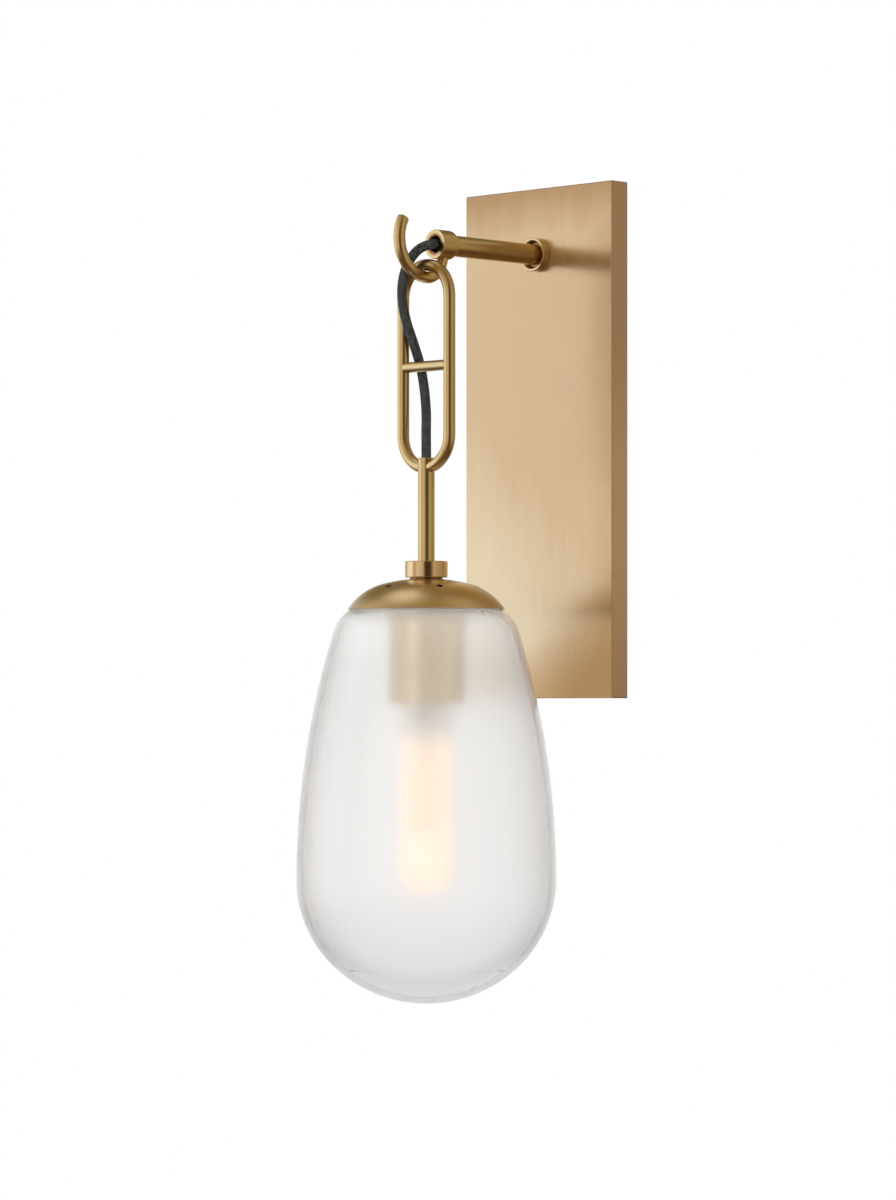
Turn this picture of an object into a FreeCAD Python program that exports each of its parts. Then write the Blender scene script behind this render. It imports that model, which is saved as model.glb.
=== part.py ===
import FreeCAD, Part
import math
import os
import Sketcher

# A wall sconce: a tall brass backplate, a short tubular arm with a hook at its end, and a closed
# link that hangs from the hook and carries a domed cap, a lamp socket and a closed glass shade.
# The frame has its origin on the wall, at the middle of the backplate. +Z is up, +X is to the
# right of a person who faces the wall, and the light stands out from the wall towards -Y.
# All sizes are in millimetres and angles in degrees.

doc = FreeCAD.newDocument("wall_sconce")

# Driving sizes

SIZES = {
    # backplate
    "plate_width": 127.0,
    "plate_height": 320.0,
    "plate_depth": 14.0,
    "plate_sheet": 1.5,
    "plate_edge_round": 0.8,
    # bracket behind the plate
    "bracket_width": 38.0,
    "bracket_sheet": 2.0,
    "bracket_tab": 10.0,
    "bracket_bend": 2.5,
    "bracket_play": 0.4,
    "box_screw_spacing": 88.9,
    "box_slot_length": 12.0,
    "box_slot_width": 4.8,
    "wire_opening": 26.0,
    "set_screw_diameter": 4.0,
    "set_screw_length": 6.0,
    "set_screw_inset": 6.5,
    "set_screw_slot_width": 0.8,
    "set_screw_slot_depth": 1.2,
    "screw_point": 0.5,
    "thread_play": 0.05,
    "ground_screw_diameter": 4.0,
    "ground_screw_side": 8.0,
    "ground_screw_drop": 48.3,
    "ground_screw_reach": 5.6,
    "ground_screw_head": 8.0,
    "ground_screw_head_height": 2.2,
    "ground_screw_slot_width": 1.0,
    "ground_screw_slot_depth": 1.1,
    # arm
    "arm_drop": 41.7,
    "arm_diameter": 13.0,
    "arm_bore": 9.6,
    "pendant_reach": 112.5,
    "flange_diameter": 21.0,
    "flange_length": 4.3,
    "flange_rim": 1.4,
    "flange_recess": 3.2,
    "flange_floor": 0.8,
    "flange_edge": 0.5,
    "flange_washer_diameter": 20.0,
    "flange_washer_thickness": 1.2,
    "slip_play": 0.05,
    "nipple_bore": 6.6,
    "nipple_grip": 20.0,
    "nipple_stub": 4.2,
    "arm_lockwasher_diameter": 16.0,
    "arm_lockwasher_thickness": 0.8,
    "arm_nut_flats": 14.3,
    "arm_nut_thickness": 3.0,
    # ferrule at the end of the arm
    "ferrule_diameter": 18.1,
    "ferrule_length": 12.9,
    "ferrule_bore": 9.8,
    "ferrule_flare": 0.7,
    "ferrule_front_round": 0.6,
    "ferrule_back_round": 1.9,
    "ferrule_seat_depth": 5.0,
    # hook
    "hook_rod": 7.3,
    "hook_shank": 0.35,
    "hook_front_radius": 23.0,
    "hook_back_radius": 13.7,
    "hook_tip_angle": 32.0,
    "hook_entry": 2.2,
    "hook_play": 0.2,
    "hook_tip_round": 0.7,
    # link
    "link_rod": 7.3,
    "link_width": 40.0,
    "link_length": 123.9,
    "hang_gap": 0.3,
    "crossbar_rod": 6.5,
    "braze_gap": 0.02,
    # stem and what it threads through
    "stem_diameter": 10.3,
    "stem_bore": 6.8,
    "stem_stand": 5.8,
    "stem_length": 89.0,
    "stem_edge": 0.5,
    "collar_drop": 63.1,
    "collar_diameter": 26.3,
    "collar_height": 10.0,
    "collar_edge": 0.6,
    "collar_washer_diameter": 20.0,
    "collar_washer_thickness": 0.9,
    # cap
    "cap_diameter": 96.4,
    "cap_height": 18.5,
    "cap_sheet": 1.0,
    "cap_crown_radius": 105.0,
    "cap_shoulder_radius": 37.3,
    "cap_seat_diameter": 20.0,
    "vent_diameter": 3.6,
    "vent_ring_diameter": 64.0,
    # threaded ring in the cap and the matching ring on the glass
    "gallery_cup_gap": 0.4,
    "gallery_cap_gap": 0.07,
    "gallery_wall": 1.1,
    "gallery_notch_width": 12.0,
    "gallery_notch_height": 5.5,
    "ring_play": 0.35,
    "ring_wall": 1.0,
    "ring_flange_width": 6.0,
    "ring_flange_thickness": 1.3,
    "ring_skirt": 4.0,
    # glass
    "shade_diameter": 158.8,
    "shade_drop": 240.9,
    "shade_rise": 3.3,
    "shade_wall": 4.0,
    "shade_widest_drop": 165.0,
    "shade_shoulder_radius": 23.2,
    "shade_cap_gap": 0.35,
    "shade_lower_turn": 47.8,
    "glue_gap": 0.1,
    # socket cup and its fasteners
    "cup_diameter": 46.0,
    "cup_length": 76.2,
    "cup_sheet": 0.8,
    "cup_shoulder_round": 4.0,
    "cup_boss_diameter": 19.0,
    "cup_boss_height": 2.8,
    "socket_lockwasher_diameter": 16.0,
    "socket_lockwasher_thickness": 0.8,
    "socket_nut_flats": 14.3,
    "socket_nut_thickness": 3.5,
    # lamp socket
    "socket_neck_top": 11.5,
    "socket_neck_diameter": 14.0,
    "socket_neck_length": 9.0,
    "socket_cap_diameter": 35.0,
    "socket_cap_sheet": 1.2,
    "socket_cap_skirt": 8.5,
    "socket_body_top": -1.5,
    "socket_body_diameter": 36.0,
    "socket_body_length": 54.5,
    "socket_bore_depth": 24.0,
    "socket_edge": 1.2,
    "shell_bore": 27.1,
    "shell_sheet": 0.5,
    "shell_length": 23.0,
    "shell_lip": 3.5,
    "contact_diameter": 10.0,
    "contact_sheet": 0.8,
    "contact_rivet_diameter": 3.0,
    "contact_rivet_length": 7.0,
    "contact_gap": 0.3,
    "terminal_offset": 11.0,
    "terminal_diameter": 3.0,
    "terminal_length": 6.5,
    "terminal_head": 5.6,
    "terminal_head_height": 1.8,
    # bulb
    "bulb_top_drop": 33.7,
    "bulb_length": 140.0,
    "bulb_diameter": 31.75,
    "bulb_wall": 0.8,
    "bulb_end_round": 12.5,
    "bulb_neck_diameter": 24.4,
    "bulb_taper": 12.0,
    "base_diameter": 26.3,
    "base_length": 26.0,
    "base_sheet": 0.4,
    "base_thread_length": 17.0,
    "tip_diameter": 9.5,
    "tip_height": 1.2,
    "insulator_height": 4.0,
    "insulator_wall": 2.0,
    "mount_rod": 3.2,
    "mount_disc_diameter": 16.0,
    "mount_disc_thickness": 1.2,
    "filament_diameter": 1.8,
    "filament_length": 62.0,
    "filament_ring_diameter": 11.0,
    # cord and wires
    "cord_diameter": 6.1,
    "wire_diameter": 2.0,
    "wire_spread": 2.15,
    "wire_depth": 4.5,
    "wire_start": 9.4,
    "connector_side": 23.0,
    "connector_top_drop": 38.0,
    "connector_length": 19.0,
    "connector_diameter": 7.8,
    "connector_tip_diameter": 5.0,
    "connector_bore_depth": 9.0,
    "socket_wire_diameter": 1.6,
    "socket_wire_offset": 1.2,
    "socket_wire_lift": 0.1,
    "cord_end_rise": 6.0,
    # every cut runs past the solid by this
    "overrun": 2.0,
}

VENTS = 6
FILAMENTS = 4
HEXAGON = 6
FULL_TURN = 360.0

# The free cord's route, chosen by hand and counted from the point of the pendant's axis at the
# arm's level: from the ferrule's mouth, down beside the hook, through the upper window of the
# link, behind its crossbar and into the stem
CORD_ROUTE = [
    (0.0, 7.25, 0.0),
    (-0.3, -0.3, -0.9),
    (-3.1, -6.7, -5.7),
    (-6.8, -10.1, -13.5),
    (-9.6, -11.3, -23.7),
    (-11.4, -9.8, -36.1),
    (-12.2, -4.7, -48.8),
    (-12.5, 1.8, -61.1),
    (-12.3, 7.5, -74.3),
    (-10.2, 8.7, -88.8),
    (-6.0, 6.1, -103.5),
    (-1.7, 1.5, -115.9),
    (0.0, 0.0, -123.5),
    (0.0, 0.0, -131.375),
]

sheet = doc.addObject("Spreadsheet::Sheet", "sizes")
sheet_rows = []


def add_row(alias, content):
    sheet_rows.append(alias)
    row = len(sheet_rows)
    sheet.set("A%d" % row, alias)
    sheet.set("B%d" % row, content)
    sheet.setAlias("B%d" % row, alias)


for alias, number in SIZES.items():
    add_row(alias, str(number))
doc.recompute()


class Size:
    """A length with the sheet formula that it comes from, so that features can be bound to it."""

    def __init__(self, value, text):
        self.value = float(value)
        self.text = text

    def __add__(self, other):
        other = as_size(other)
        return Size(self.value + other.value, "(%s + %s)" % (self.text, other.text))

    def __sub__(self, other):
        other = as_size(other)
        return Size(self.value - other.value, "(%s - %s)" % (self.text, other.text))

    def __neg__(self):
        return Size(-self.value, "(0 - %s)" % self.text)

    def __mul__(self, other):
        other = as_size(other)
        return Size(self.value * other.value, "(%s * %s)" % (self.text, other.text))

    def __truediv__(self, other):
        other = as_size(other)
        return Size(self.value / other.value, "(%s / %s)" % (self.text, other.text))


def as_size(number):
    return number if isinstance(number, Size) else Size(number, "%.12g" % number)


def root(amount):
    return Size(math.sqrt(amount.value), "sqrt(%s)" % amount.text)


def third_side(longest, other):
    """The remaining side of a triangle with a right angle."""
    return root(longest * longest - other * other)


def sine(angle):
    return Size(math.sin(math.radians(angle.value)), "sin(%s)" % angle.text)


def cosine(angle):
    return Size(math.cos(math.radians(angle.value)), "cos(%s)" % angle.text)


def size(alias):
    return Size(sheet.get(alias), "sizes." + alias)


def derived(alias, formula):
    """Adds a size that the sheet works out from the others."""
    add_row(alias, "=" + formula.text.replace("sizes.", ""))
    doc.recompute()
    return size(alias)


NONE = as_size(0.0)
overrun = size("overrun")

# Levels, worked out down the pendant from the arm

plate_height = size("plate_height")
arm_rise = plate_height / 2 - size("arm_drop")
reach = size("pendant_reach")
hook_root = arm_rise - size("ferrule_diameter") / 2 + size("hook_entry")
hook_bottom = hook_root - size("hook_shank") - size("hook_back_radius")
link_top = hook_bottom + size("hook_rod") / 2 + size("link_rod") / 2 + size("hang_gap")
link_bottom = link_top - size("link_length")
link_middle = link_top - size("link_length") / 2
stem_top = link_bottom + size("stem_stand")
collar_bottom = stem_top - size("collar_drop") - size("collar_height")
cap_seat = collar_bottom - size("collar_washer_thickness")
cap_rim = cap_seat - size("cap_height")

# Distances from the wall along the arm

plate_depth = size("plate_depth")
flange_back = plate_depth + size("flange_washer_thickness")
ferrule_middle = reach - size("hook_back_radius")
ferrule_back = ferrule_middle - size("ferrule_length") / 2
ferrule_front = ferrule_middle + size("ferrule_length") / 2


# Sketch helpers

def sketch_on(body, role, name):
    sketch = body.newObject("Sketcher::SketchObject", name)
    plane = [item for item in body.Origin.OriginFeatures if item.Role == role][0]
    sketch.AttachmentSupport = [(plane, "")]
    sketch.MapMode = "FlatFace"
    return sketch


def bind(sketch, kind, where, length):
    """Adds one constraint whose value follows the sheet."""
    index = sketch.addConstraint(Sketcher.Constraint(kind, *where, length.value))
    sketch.setExpression("Constraints[%d]" % index, length.text)


def bind_x(sketch, line, end, length):
    if length.text == NONE.text:
        sketch.addConstraint(Sketcher.Constraint("PointOnObject", line, end, -2))
    else:
        bind(sketch, "DistanceX", (line, end), length)


def bind_y(sketch, line, end, length):
    if length.text == NONE.text:
        sketch.addConstraint(Sketcher.Constraint("PointOnObject", line, end, -1))
    else:
        bind(sketch, "DistanceY", (line, end), length)


def vector(x, y):
    return FreeCAD.Vector(x, y, 0)


def line_between(start, end):
    return Part.LineSegment(vector(*start), vector(*end))


def arc_about(centre, radius, start_angle, end_angle):
    circle = Part.Circle(vector(*centre), FreeCAD.Vector(0, 0, 1), radius)
    return Part.ArcOfCircle(circle, start_angle, end_angle)


def corner_arc(before, corner, after, radius):
    """Start, end, centre and sense of the arc that rounds a square corner."""
    into = [(b - a) for a, b in zip(before, corner)]
    out = [(b - a) for a, b in zip(corner, after)]
    into_length = math.hypot(*into)
    out_length = math.hypot(*out)
    into = [v / into_length for v in into]
    out = [v / out_length for v in out]
    start = [c - radius * v for c, v in zip(corner, into)]
    end = [c + radius * v for c, v in zip(corner, out)]
    centre = [a + radius * v for a, v in zip(start, out)]
    turns_left = into[0] * out[1] - into[1] * out[0] > 0
    return start, end, centre, turns_left


def draw_outline(sketch, points):
    """Draws a closed outline through (x, y) or (x, y, round) points and ties it to the sheet.

    Sides along an axis carry one constraint. Rounded corners lie between two such sides.
    """
    count = len(points)
    places = [(p[0].value, p[1].value) for p in points]
    rounds = [p[2] if len(p) > 2 else None for p in points]
    corners = []
    for i in range(count):
        if rounds[i] is None:
            corners.append((places[i], places[i], None, True))
        else:
            before = places[i - 1]
            after = places[(i + 1) % count]
            corners.append(corner_arc(before, places[i], after, rounds[i].value))
    sides = []
    for i in range(count):
        start = corners[i][1]
        end = corners[(i + 1) % count][0]
        sides.append(sketch.addGeometry(line_between(start, end), False))
    flat = []
    upright = []
    for i in range(count):
        a = points[i]
        b = points[(i + 1) % count]
        flat.append(a[1].text == b[1].text)
        upright.append(a[0].text == b[0].text)
        if flat[i]:
            sketch.addConstraint(Sketcher.Constraint("Horizontal", sides[i]))
            bind_y(sketch, sides[i], 1, a[1])
        if upright[i]:
            sketch.addConstraint(Sketcher.Constraint("Vertical", sides[i]))
            bind_x(sketch, sides[i], 1, a[0])
    for i in range(count):
        if rounds[i] is None:
            sketch.addConstraint(Sketcher.Constraint("Coincident", sides[i - 1], 2, sides[i], 1))
            if not (upright[i] or upright[i - 1]):
                bind_x(sketch, sides[i], 1, points[i][0])
            if not (flat[i] or flat[i - 1]):
                bind_y(sketch, sides[i], 1, points[i][1])
            continue
        start, end, centre, turns_left = corners[i]
        first, last = (start, end) if turns_left else (end, start)
        angles = [math.atan2(p[1] - centre[1], p[0] - centre[0]) for p in (first, last)]
        arc = sketch.addGeometry(arc_about(centre, rounds[i].value, *angles), False)
        arc_start, arc_finish = (1, 2) if turns_left else (2, 1)
        sketch.addConstraint(Sketcher.Constraint("Tangent", sides[i - 1], 2, arc, arc_start))
        sketch.addConstraint(Sketcher.Constraint("Tangent", arc, arc_finish, sides[i], 1))
        bind(sketch, "Radius", (arc,), rounds[i])


def draw_circle(sketch, x, y, radius):
    circle = Part.Circle(vector(x.value, y.value), FreeCAD.Vector(0, 0, 1), radius.value)
    index = sketch.addGeometry(circle, False)
    bind(sketch, "Radius", (index,), radius)
    bind_x(sketch, index, 3, x)
    bind_y(sketch, index, 3, y)


def draw_upright_slot(sketch, x, y, length, radius):
    """Draws a slot with round ends that runs along the sketch's second axis."""
    half = length / 2 - radius
    top = (y + half).value
    low = (y - half).value
    left = (x - radius).value
    right = (x + radius).value
    upper = sketch.addGeometry(arc_about((x.value, top), radius.value, 0, math.pi), False)
    left_side = sketch.addGeometry(line_between((left, top), (left, low)), False)
    lower = sketch.addGeometry(arc_about((x.value, low), radius.value, math.pi, 2 * math.pi), False)
    right_side = sketch.addGeometry(line_between((right, low), (right, top)), False)
    for first, end, second, start in ((upper, 2, left_side, 1), (left_side, 2, lower, 1),
                                      (lower, 2, right_side, 1), (right_side, 2, upper, 1)):
        sketch.addConstraint(Sketcher.Constraint("Tangent", first, end, second, start))
    sketch.addConstraint(Sketcher.Constraint("Vertical", left_side))
    bind(sketch, "Radius", (upper,), radius)
    bind_x(sketch, upper, 3, x)
    bind_y(sketch, upper, 3, y + half)
    bind_y(sketch, lower, 3, y - half)


# Feature helpers

def place_on_pendant(item, level):
    """Puts the item's own origin on the pendant's axis, at a level."""
    item.setExpression("Placement.Base.y", (-reach).text)
    item.setExpression("Placement.Base.z", level.text)


def place_on_arm(item, from_wall):
    """Turns the item's own Z out from the wall and puts it on the arm's axis."""
    turned = FreeCAD.Rotation(FreeCAD.Vector(1, 0, 0), 90)
    item.Placement = FreeCAD.Placement(FreeCAD.Vector(0, 0, 0), turned)
    item.setExpression("Placement.Base.y", (-from_wall).text)
    item.setExpression("Placement.Base.z", arm_rise.text)


def place_at(item, x, y, z):
    item.setExpression("Placement.Base.x", x.text)
    item.setExpression("Placement.Base.y", y.text)
    item.setExpression("Placement.Base.z", z.text)


def new_body(label):
    body = doc.addObject("PartDesign::Body", label)
    body.Label = label
    return body


def revolve(body, sketch):
    turn = body.newObject("PartDesign::Revolution", body.Name + "_turn")
    turn.Profile = sketch
    turn.ReferenceAxis = (sketch, ["V_Axis"])
    turn.Angle = FULL_TURN
    doc.recompute()
    return turn


def lathe(label, outline):
    """A round piece: the outline holds (radius, height) points about the piece's own Z."""
    body = new_body(label)
    sketch = sketch_on(body, "XZ_Plane", label + "_profile")
    draw_outline(sketch, outline)
    revolve(body, sketch)
    return body


def ring(label, inner, outer, thickness):
    return lathe(label, [(inner, NONE), (outer, NONE), (outer, thickness), (inner, thickness)])


def pad(body, sketch, length, symmetric=False):
    feature = body.newObject("PartDesign::Pad", body.Name + "_pad")
    feature.Profile = sketch
    feature.setExpression("Length", length.text)
    if symmetric:
        feature.SideType = "Symmetric"
    doc.recompute()
    return feature


def cut_through(body, sketch, length, name):
    """Cuts a sketch both ways from its plane, and makes sure that it takes something away."""
    before = body.Shape.Volume
    feature = body.newObject("PartDesign::Pocket", name)
    feature.Profile = sketch
    feature.SideType = "Symmetric"
    feature.setExpression("Length", length.text)
    doc.recompute()
    if not body.Shape.Volume < before:
        raise RuntimeError(name + " cuts nothing")
    return feature


def repeat_about_axis(body, feature, copies, name):
    pattern = body.newObject("PartDesign::PolarPattern", name)
    pattern.Originals = [feature]
    axis = [item for item in body.Origin.OriginFeatures if item.Role == "Z_Axis"][0]
    pattern.Axis = (axis, [""])
    pattern.Angle = FULL_TURN
    pattern.Occurrences = copies
    body.Tip = pattern
    doc.recompute()
    return pattern


def round_edges(body, feature, wanted, radius, name):
    """Rounds the edges of a feature that the test picks."""
    edges = ["Edge%d" % (i + 1) for i, edge in enumerate(feature.Shape.Edges) if wanted(edge)]
    fillet = body.newObject("PartDesign::Fillet", name)
    fillet.Base = (feature, edges)
    fillet.setExpression("Radius", radius.text)
    doc.recompute()
    return fillet


def cylinder(name, radius, height):
    item = doc.addObject("Part::Cylinder", name)
    item.setExpression("Radius", radius.text)
    item.setExpression("Height", height.text)
    return item


def cuboid(name, length, width, height):
    item = doc.addObject("Part::Box", name)
    item.setExpression("Length", length.text)
    item.setExpression("Width", width.text)
    item.setExpression("Height", height.text)
    return item


def cut(label, base, tool):
    item = doc.addObject("Part::Cut", label)
    item.Base = base
    item.Tool = tool
    item.Label = label
    doc.recompute()
    return item


def group(label, items):
    item = doc.addObject("Part::Compound", label)
    item.Links = items
    item.Label = label
    return item


def mirrored(item, normal):
    copy = doc.addObject("Part::Mirroring", item.Name + "_mirrored")
    copy.Source = item
    copy.Normal = normal
    return copy


def hex_nut(label, flats, thickness, hole):
    prism = doc.addObject("Part::Prism", label + "_prism")
    prism.Polygon = HEXAGON
    prism.setExpression("Circumradius", (flats / math.sqrt(3)).text)
    prism.setExpression("Height", thickness.text)
    bore = cylinder(label + "_bore", hole, thickness + overrun * 2)
    bore.setExpression("Placement.Base.z", (-overrun).text)
    return cut(label, prism, bore)


# Backplate and what is behind it

plate_width = size("plate_width")
plate_sheet = size("plate_sheet")
ground_screw_rise = arm_rise - size("ground_screw_drop")
nipple_radius = size("arm_bore") / 2 - size("thread_play")
set_screw_hole = size("set_screw_diameter") / 2 + size("thread_play")


def box_outline(half_width, half_height):
    return [(-half_width, -half_height), (half_width, -half_height),
            (half_width, half_height), (-half_width, half_height)]


def make_backplate():
    body = new_body("backplate")
    face = sketch_on(body, "XZ_Plane", "backplate_face")
    draw_outline(face, box_outline(plate_width / 2, plate_height / 2))
    block = pad(body, face, plate_depth)

    def not_on_wall(edge):
        return min(vertex.Point.y for vertex in edge.Vertexes) < -plate_depth.value / 2

    round_edges(body, block, not_on_wall, size("plate_edge_round"), "backplate_rounds")
    before = body.Shape.Volume
    hollow = sketch_on(body, "XZ_Plane", "backplate_hollow")
    draw_outline(hollow, box_outline(plate_width / 2 - plate_sheet, plate_height / 2 - plate_sheet))
    pocket = body.newObject("PartDesign::Pocket", "backplate_pocket")
    pocket.Profile = hollow
    pocket.Reversed = True
    pocket.setExpression("Length", (plate_depth - plate_sheet).text)
    doc.recompute()
    if not body.Shape.Volume < before:
        raise RuntimeError("the backplate isn't hollow")
    arm_hole = sketch_on(body, "XZ_Plane", "backplate_arm_hole")
    draw_circle(arm_hole, NONE, arm_rise, nipple_radius + size("thread_play"))
    cut_through(body, arm_hole, plate_depth * 2 + overrun, "backplate_arm_pocket")
    screw_holes = sketch_on(body, "XY_Plane", "backplate_screw_holes")
    draw_circle(screw_holes, NONE, -size("set_screw_inset"), set_screw_hole)
    cut_through(body, screw_holes, plate_height + overrun, "backplate_screw_pocket")
    return body


def make_bracket():
    body = new_body("mounting_bracket")
    half = plate_height / 2 - plate_sheet - size("bracket_play")
    metal = size("bracket_sheet")
    tab = size("bracket_tab")
    bend = size("bracket_bend")
    side = sketch_on(body, "YZ_Plane", "bracket_side")
    draw_outline(side, [
        (NONE, -half, bend),
        (NONE, half, bend),
        (-tab, half),
        (-tab, half - metal),
        (-metal, half - metal),
        (-metal, -(half - metal)),
        (-tab, -(half - metal)),
        (-tab, -half),
    ])
    pad(body, side, size("bracket_width"), symmetric=True)
    openings = sketch_on(body, "XZ_Plane", "bracket_openings")
    draw_circle(openings, NONE, NONE, size("wire_opening") / 2)
    slot_rise = size("box_screw_spacing") / 2
    for level in (slot_rise, -slot_rise):
        draw_upright_slot(openings, NONE, level, size("box_slot_length"), size("box_slot_width") / 2)
    draw_circle(openings, size("ground_screw_side"), ground_screw_rise,
                size("ground_screw_diameter") / 2 + size("thread_play"))
    cut_through(body, openings, metal * 2 + overrun, "bracket_opening_pocket")
    taps = sketch_on(body, "XY_Plane", "bracket_taps")
    draw_circle(taps, NONE, -size("set_screw_inset"), set_screw_hole)
    cut_through(body, taps, plate_height + overrun, "bracket_tap_pocket")
    return body


def slotted(label, blank, slot_width, slot_depth, slot_length, top):
    """Cuts a straight slot across the top of a round head."""
    slot = cuboid(label + "_slot", slot_length, slot_width, slot_depth + overrun)
    place_at(slot, -(slot_length / 2), -(slot_width / 2), top - slot_depth)
    return cut(label, blank, slot)


def make_set_screws():
    radius = size("set_screw_diameter") / 2
    length = size("set_screw_length")
    point = size("screw_point")
    blank = lathe("set_screw_blank", [
        (NONE, -length), (radius - point, -length), (radius, -length + point),
        (radius, NONE), (NONE, NONE)])
    screw = slotted("set_screw_upper", blank, size("set_screw_slot_width"),
                    size("set_screw_slot_depth"), radius * 2 + overrun, NONE)
    place_at(screw, NONE, -size("set_screw_inset"), plate_height / 2)
    return group("set_screws", [screw, mirrored(screw, FreeCAD.Vector(0, 0, 1))])


def make_ground_screw():
    radius = size("ground_screw_diameter") / 2
    head = size("ground_screw_head") / 2
    shank = size("ground_screw_reach")
    top = shank + size("ground_screw_head_height")
    blank = lathe("ground_screw_blank", [
        (NONE, NONE), (radius, NONE), (radius, shank), (head, shank), (head, top), (NONE, top)])
    screw = slotted("ground_screw", blank, size("ground_screw_slot_width"),
                    size("ground_screw_slot_depth"), head * 2 + overrun, top)
    turned = FreeCAD.Rotation(FreeCAD.Vector(1, 0, 0), 90)
    screw.Placement = FreeCAD.Placement(FreeCAD.Vector(0, 0, 0), turned)
    place_at(screw, size("ground_screw_side"), NONE, ground_screw_rise)
    return screw


# Arm, from the wall outwards

arm_radius = size("arm_diameter") / 2
slip = size("slip_play")


def make_arm_pieces():
    washer = ring("flange_washer", arm_radius + slip, size("flange_washer_diameter") / 2,
                  size("flange_washer_thickness"))
    place_on_arm(washer, plate_depth)
    rim = size("flange_diameter") / 2
    length = size("flange_length")
    recess = size("flange_recess")
    flange = lathe("arm_flange", [
        (arm_radius + slip, NONE),
        (rim, NONE, size("flange_edge")),
        (rim, length, size("flange_edge")),
        (rim - size("flange_rim"), length),
        (arm_radius + size("flange_floor"), length - recess),
        (arm_radius + slip, length - recess),
    ])
    place_on_arm(flange, flange_back)
    tube = ring("arm_tube", size("arm_bore") / 2, arm_radius,
                ferrule_back + size("ferrule_seat_depth") - plate_depth)
    place_on_arm(tube, plate_depth)
    nipple_back = plate_depth - plate_sheet - size("nipple_stub")
    nipple = ring("arm_nipple", size("nipple_bore") / 2, nipple_radius,
                  size("nipple_stub") + plate_sheet + size("nipple_grip"))
    place_on_arm(nipple, nipple_back)
    washer_back = plate_depth - plate_sheet - size("arm_lockwasher_thickness")
    lock = ring("arm_lockwasher", nipple_radius + size("thread_play"),
                size("arm_lockwasher_diameter") / 2, size("arm_lockwasher_thickness"))
    place_on_arm(lock, washer_back)
    nut = hex_nut("arm_nut", size("arm_nut_flats"), size("arm_nut_thickness"),
                  nipple_radius + size("thread_play"))
    place_on_arm(nut, washer_back - size("arm_nut_thickness"))
    return [washer, flange, tube, nipple, lock, nut]


def make_ferrule():
    outer = size("ferrule_diameter") / 2
    bore = size("ferrule_bore") / 2
    seat = arm_radius + slip
    length = size("ferrule_length")
    flare = size("ferrule_flare")
    blank = lathe("ferrule_blank", [
        (bore + flare, length),
        (bore, length - flare),
        (bore, size("ferrule_seat_depth")),
        (seat, size("ferrule_seat_depth")),
        (seat, NONE),
        (outer, NONE, size("ferrule_back_round")),
        (outer, length, size("ferrule_front_round")),
    ])
    place_on_arm(blank, ferrule_back)
    hole_length = size("hook_entry") + overrun
    hole = cylinder("ferrule_hook_hole", size("hook_rod") / 2 + size("hook_play"), hole_length)
    place_at(hole, NONE, -ferrule_middle, hook_root - hole_length)
    return cut("ferrule", blank, hole)


def edge_list(sketch):
    return ["Edge%d" % (i + 1) for i in range(len(sketch.Geometry))]


def make_hook():
    body = new_body("hook")
    back = size("hook_back_radius")
    front = size("hook_front_radius")
    tip = math.radians(size("hook_tip_angle").value)
    straight = size("hook_shank")
    path = sketch_on(body, "YZ_Plane", "hook_path")
    drop = -straight.value
    entry = path.addGeometry(line_between((0, 0), (0, drop)), False)
    rear = path.addGeometry(arc_about((-back.value, drop), back.value, -math.pi / 2, 0), False)
    front_level = front - straight - back
    bowl = path.addGeometry(arc_about(
        (-back.value, front_level.value), front.value, math.pi - tip, math.pi * 3 / 2), False)
    path.addConstraint(Sketcher.Constraint("Coincident", entry, 1, -1, 1))
    path.addConstraint(Sketcher.Constraint("Vertical", entry))
    path.addConstraint(Sketcher.Constraint("Tangent", entry, 2, rear, 2))
    path.addConstraint(Sketcher.Constraint("Tangent", rear, 1, bowl, 2))
    path.addConstraint(Sketcher.Constraint("Vertical", rear, 3, rear, 1))
    bind_y(path, entry, 2, -straight)
    bind(path, "Radius", (rear,), back)
    bind(path, "Radius", (bowl,), front)
    bind_y(path, bowl, 1, front_level + front * sine(size("hook_tip_angle")))
    section = sketch_on(body, "XY_Plane", "hook_section")
    draw_circle(section, NONE, NONE, size("hook_rod") / 2)
    pipe = body.newObject("PartDesign::AdditivePipe", "hook_pipe")
    pipe.Profile = section
    pipe.Spine = (path, edge_list(path))
    doc.recompute()

    def at_tip(edge):
        middle = edge.BoundBox.Center
        return edge.Closed and middle.y < -back.value * 2 and edge.BoundBox.DiagonalLength > back.value / 2

    round_edges(body, pipe, at_tip, size("hook_tip_round"), "hook_tip_fillet")
    place_at(body, NONE, -ferrule_middle, hook_root)
    return body


# Link with its crossbar

link_rod = size("link_rod") / 2
link_half = size("link_width") / 2


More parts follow.
